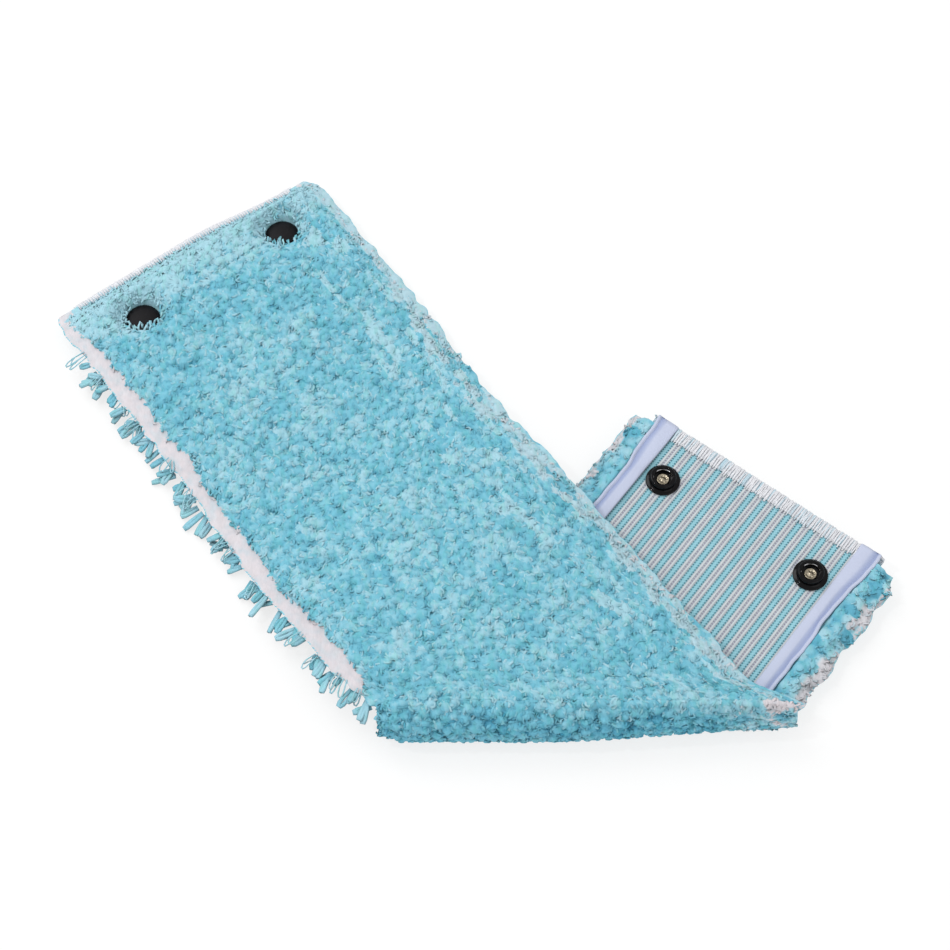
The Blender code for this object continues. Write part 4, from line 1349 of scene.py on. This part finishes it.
# %% [markdown]
# ## Press studs
# A stud has four parts: a domed cap on the pile side, a post that is crimped through the cloth,
# a socket with a six-sided mouth on the back, and a ring spring in the socket. They are turned
# parts, so each is a profile of radius and height carried round its axis, finer than the
# solids, and the mouth's six sides and the crimp's dimples are worked into the radius and the
# height as the profile goes round.

# %% Turned parts
STEPS = 72
CRIMP, LIP, AXIS_TO_FLAT = -0.0013, 0.0035, 0.00375


def stud_seat(half, stud):
    """Where a stud's axis meets the back of the cloth, and 1 where it points up, else -1."""
    return LAY[half](np.array((*stud, 0.0))), 1.0 if half == "long" else -1.0


def arc(radius, height, size, start, stop, count):
    """Points of a round corner, angles in degrees from the outward direction."""
    turns = np.radians(np.linspace(start, stop, count))
    return [(radius + size * math.cos(a), height + size * math.sin(a)) for a in turns]


def turned_part(name, half, stud, profile, material, shape=None, closed=False, sharp=38):
    """Each profile point goes round the stud's axis, at (r cos a, r sin a, height), and shape
    may change r and the height with a. On the short half the axis points down."""
    profile = np.array(profile)
    if closed:
        profile = np.concatenate((profile, profile[:1]))
    angle = 2 * math.pi * np.arange(STEPS) / STEPS
    r, h = profile[:, 0][:, None] + 0 * angle, profile[:, 1][:, None] + 0 * angle
    if shape is not None:
        r, h = shape(r, h, angle)
    seat, up = stud_seat(half, stud)
    points = np.stack((seat[0] + r * np.cos(angle), seat[1] + up * r * np.sin(angle),
                       seat[2] + up * h), -1)
    index = np.arange(len(profile) * STEPS).reshape(len(profile), STEPS)
    after = np.roll(index, -1, axis=1)
    quads = np.stack((index[:-1], after[:-1], after[1:], index[1:]), -1)
    return add_piece(name, points, quads, material, sharp=sharp)


def cap_outline():
    """A pressed dome: an arc of a wide circle, a rounded rim, and a shallow hollow beneath."""
    rim, crown, hollow_radius = PILE_FOOT, PILE_FOOT + 0.0011, 0.0069
    radii = CAP_RADIUS * np.sin(np.radians(np.linspace(0, 80, 16)))
    dome = [(r, crown + 0.0021 * math.sqrt(1 - (r / CAP_RADIUS) ** 2)) for r in radii]
    side = [(CAP_RADIUS, crown + 0.0001), (CAP_RADIUS, rim + 0.0004)]
    lip = arc(CAP_RADIUS - 0.0003, rim + 0.0003, 0.0003, 0, -90, 4)
    under = [(0.0050, rim), (0.0050, rim + 0.0004), (0.0068, rim + 0.0005), (hollow_radius, crown)]
    radii = hollow_radius * np.sin(np.radians(np.linspace(66, 0, 5)))
    hollow = [(r, crown + 0.0015 * math.sqrt(1 - (r / hollow_radius) ** 2)) for r in radii]
    return dome + side + lip + under + hollow


def post_outline():
    """A broad head in the cap, a shank through the cloth, and a rolled, crimped end."""
    head = PILE_FOOT + 0.0007
    end = [(0.0027, CRIMP - 0.0002)] + arc(0.0023, CRIMP - 0.0002, 0.0004, 0, -90, 5)
    end += [(0.0020, CRIMP - 0.00055), (0.0016, CRIMP - 0.00025), (0.0012, CRIMP - 0.0002),
            (0.0008, CRIMP - 0.0004), (0.0004, CRIMP - 0.0006), (0.0, CRIMP - 0.00063)]
    return [(0.0, head + 0.0005), (0.0058, head + 0.0005), (0.0061, head + 0.00025), (0.0058, head),
            (POST_RADIUS, head), (POST_RADIUS, CRIMP), (0.0025, CRIMP)] + end


def crimp_dimples(r, h, angle):
    """Four dimples: the end sinks where the cosine of four times the angle is high."""
    ring = np.exp(-((r - 0.0015) / 0.00045) ** 2) * (h < CRIMP)
    return r, h + 0.00030 * ring * smooth_step(np.cos(4 * angle + 0.6))


def socket_outline():
    """A flange, a step, a collar with a rounded rim, and inside it a groove for the spring."""
    top, edge, outside, groove = -GAP, SOCKET_RADIUS, 0.0055, 0.0047
    points = [(edge - 0.0003, top)] + arc(edge - 0.0003, top - 0.0004, 0.0003, 60, -60, 6)
    points += [(edge - 0.0007, -0.00115), (outside + 0.0005, -0.00125), (outside + 0.0001, -0.0016)]
    points += arc(outside - 0.0007, COLLAR + 0.0007, 0.0007, 0, -90, 7)
    points += [(0.0041, COLLAR)] + arc(LIP + 0.0003, COLLAR + 0.0003, 0.0003, -90, -180, 4)
    points += [(LIP, COLLAR + 0.0006), (groove, COLLAR + 0.0009), (groove, -0.0012),
               (groove - 0.0003, -0.0010), (POST_RADIUS + GAP, -0.0010), (POST_RADIUS + GAP, top)]
    return points


def six_sided_mouth(r, h, angle):
    """Near the mouth the radius becomes that of a hexagon, half its width across flats over the
    cosine of the angle from the nearest flat's middle."""
    from_flat = np.mod(angle, math.pi / 3) - math.pi / 6
    hexagon = AXIS_TO_FLAT / np.cos(from_flat)
    at_mouth = (r < 0.0043) & (r > 0.0030) & (h < COLLAR + 0.0008)
    return np.where(at_mouth, r - LIP + hexagon - 0.0001, r), h


def add_spring(name, half, stud):
    """A wire ring, open at one side: rings of points carried round most of a turn."""
    stations, sides, radius, height, wire = 60, 10, 0.00412, -0.00275, 0.00032
    turn = np.radians(np.linspace(15, 345, stations))
    seat, up = stud_seat(half, stud)
    path = np.stack((seat[0] + radius * np.cos(turn), seat[1] + up * radius * np.sin(turn),
                     seat[2] + up * height + 0 * turn), -1)[None]
    rings = tube_rings(path, np.array((0.0, 0.0, 1.0)), np.full((1, stations), wire), sides)
    return add_piece(name, rings, tube_quads(1, stations, sides), STEEL)


STUDS = []
for half in ("long", "short"):
    for label, stud in zip(SIDES, stud_places(half)):
        tag = f"{half}_{label}"
        made = {
            "cap": turned_part(f"cap_{tag}", half, stud, cap_outline(), CAP_BLACK),
            "post": turned_part(f"post_{tag}", half, stud, post_outline(), BRASS, crimp_dimples,
                                sharp=60),
            "socket": turned_part(f"socket_{tag}", half, stud, socket_outline(), SOCKET_BLACK,
                                  six_sided_mouth, closed=True),
            "spring": add_spring(f"spring_{tag}", half, stud),
        }
        for part, obj in made.items():
            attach(obj, BODY[half])
            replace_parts(obj, f"stud_{part}_{tag}")
            STUDS.append(obj)
print(len(STUDS), "stud parts")

# %% [markdown]
# ## Which piece moves with what
# Everything on a half rides on that half's body. What lies round the fold is baked where it lies and
# rides on neither. Each dressed piece names the solid that it stands for. The two large cloths are
# cut to a strip 116 mm wide whose fold end is cut on the slant.

# %% Riding and replacing
for half, loops, beds, cloth in (("long", LONG_LOOPS, LONG_BEDS, LONG_CLOTH),
                                 ("short", SHORT_LOOPS, SHORT_BEDS, SHORT_CLOTH)):
    for obj in loops:
        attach(obj, BODY[half])
    for bed in beds:
        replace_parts(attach(bed, BODY[half]), f"pile_{half}_half")
    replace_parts(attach(cloth, BODY[half]), f"ground_cloth_{half}_half")
    for label in SIDES:
        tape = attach(TAPES[half, label], BODY[half])
        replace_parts(tape, f"edge_tape_{half}_{label}")
    threads, band = SEAMS[half]
    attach(threads, BODY[half])
    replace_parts(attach(band, BODY[half]), f"overlock_seam_{half}")

for half, loops in FRINGES.items():
    for obj in loops:
        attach(obj, BODY[half])
for obj in FOLD_LOOPS:
    fold_blend(obj)
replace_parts(fold_blend(FOLD_BED), "pile_crease")
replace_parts(fold_blend(FOLD_CLOTH), "ground_cloth_crease")
for label in SIDES:
    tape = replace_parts(fold_blend(TAPES["fold", label]), f"edge_tape_crease_{label}")

# %% [markdown]
# ## Floor, light and camera
# The cover lies on a plain white floor under even daylight: a pale world, one wide lamp above
# and to the left that gives the loops a little form, one small lamp for the glints on the black
# studs, and a wide weak one from the front. To the camera the floor is nearly its own white,
# and it keeps a faint shadow. The camera stands where the picture was taken.

# %% The floor
def make_floor():
    """A large sheet that keeps its shadow but shows mostly plain white to the camera."""
    material, tree, shader = new_material("white_floor")
    set_finish(shader, Base_Color=(0.93, 0.93, 0.93, 1.0), Roughness=0.9)
    white = add_node(tree, "ShaderNodeEmission", Color=(1.0, 1.0, 1.0, 1.0), Strength=1.0)
    path = tree.nodes.new("ShaderNodeLightPath")
    seen = sums(tree, "ADD", path.outputs["Is Camera Ray"], path.outputs["Is Glossy Ray"], clamp=True)
    seen = sums(tree, "ADD", seen, path.outputs["Is Transmission Ray"], clamp=True)
    mix = add_node(tree, "ShaderNodeMixShader", Fac=sums(tree, "MULTIPLY", seen, 0.75))
    tree.links.new(shader.outputs[0], mix.inputs[1])
    tree.links.new(white.outputs[0], mix.inputs[2])
    output = next(n for n in tree.nodes if n.type == "OUTPUT_MATERIAL")
    tree.links.new(mix.outputs[0], output.inputs[0])
    mesh = bpy.data.meshes.new("floor")
    reach = 6.0
    mesh.from_pydata([(-reach, -reach, 0), (reach, -reach, 0), (reach, reach, 0), (-reach, reach, 0)],
                     [], [(0, 1, 2, 3)])
    mesh.materials.append(material)
    floor = bpy.data.objects.new("floor", mesh)
    bpy.context.scene.collection.objects.link(floor)


make_floor()

# %% The world and the lamps
SCENE = bpy.context.scene
SCENE.view_settings.view_transform = "Standard"
WORLD_LIGHT = 0.74


def light_world():
    """A white world that lights the object at WORLD_LIGHT and is plain white to the camera."""
    world = bpy.data.worlds.new("pale_room")
    world.use_nodes = True
    SCENE.world = world
    tree = world.node_tree
    tree.nodes.clear()
    path = tree.nodes.new("ShaderNodeLightPath")
    seen = sums(tree, "ADD", path.outputs["Is Camera Ray"], path.outputs["Is Transmission Ray"],
                clamp=True)
    strength = sums(tree, "MULTIPLY_ADD", seen, 1.0 - WORLD_LIGHT, WORLD_LIGHT)
    background = add_node(tree, "ShaderNodeBackground", Color=(1.0, 1.0, 1.0, 1.0), Strength=strength)
    output = tree.nodes.new("ShaderNodeOutputWorld")
    tree.links.new(background.outputs[0], output.inputs[0])


def stand(obj, place, back):
    """A lamp or camera put at a place, with its own Z along the direction back, away from what
    it looks at, and its X level."""
    SCENE.collection.objects.link(obj)
    right = np.cross((0.0, 0.0, 1.0), back)
    right /= np.linalg.norm(right)
    up = np.cross(back, right)
    for row in range(3):
        obj.matrix_world[row][:] = (right[row], up[row], back[row], place[row])
    return obj


def add_lamp(name, place, target, size, watts):
    """A square area lamp at a place that looks at a target."""
    data = bpy.data.lights.new(name, "AREA")
    data.size, data.energy = size, watts
    back = np.array(place) - np.array(target)
    return stand(bpy.data.objects.new(name, data), place, back / np.linalg.norm(back))


light_world()
add_lamp("key_lamp", (-1.0, 0.9, 1.7), (0.0, 0.0, 0.0), 1.1, 15.0)
add_lamp("glint_lamp", (-0.75, -0.15, 1.35), (0.1, 0.0, 0.0), 0.08, 4.0)
add_lamp("fill_lamp", (1.2, -1.3, 1.5), (0.0, 0.0, 0.0), 1.6, 7.0)

# %% The camera
ELEVATION = math.radians(60.8)
DISTANCE, FOCAL_PIXELS, IMAGE_PIXELS, SENSOR = 1.094, 2569.0, 950.0, 36.0
TARGET = np.array((0.0035, -0.0121, 0.0))


def add_camera():
    """The camera looks at TARGET from the front, ELEVATION above the floor. Its focal length
    comes from the one in pixels over the picture's width, times the sensor's."""
    data = bpy.data.cameras.new("camera")
    data.sensor_width, data.lens = SENSOR, FOCAL_PIXELS / IMAGE_PIXELS * SENSOR
    back = np.array((0.0, -math.cos(ELEVATION), math.sin(ELEVATION)))
    return stand(bpy.data.objects.new("camera", data), TARGET + DISTANCE * back, back)


SCENE.camera = add_camera()
print("lens in mm:", round(SCENE.camera.data.lens, 1))
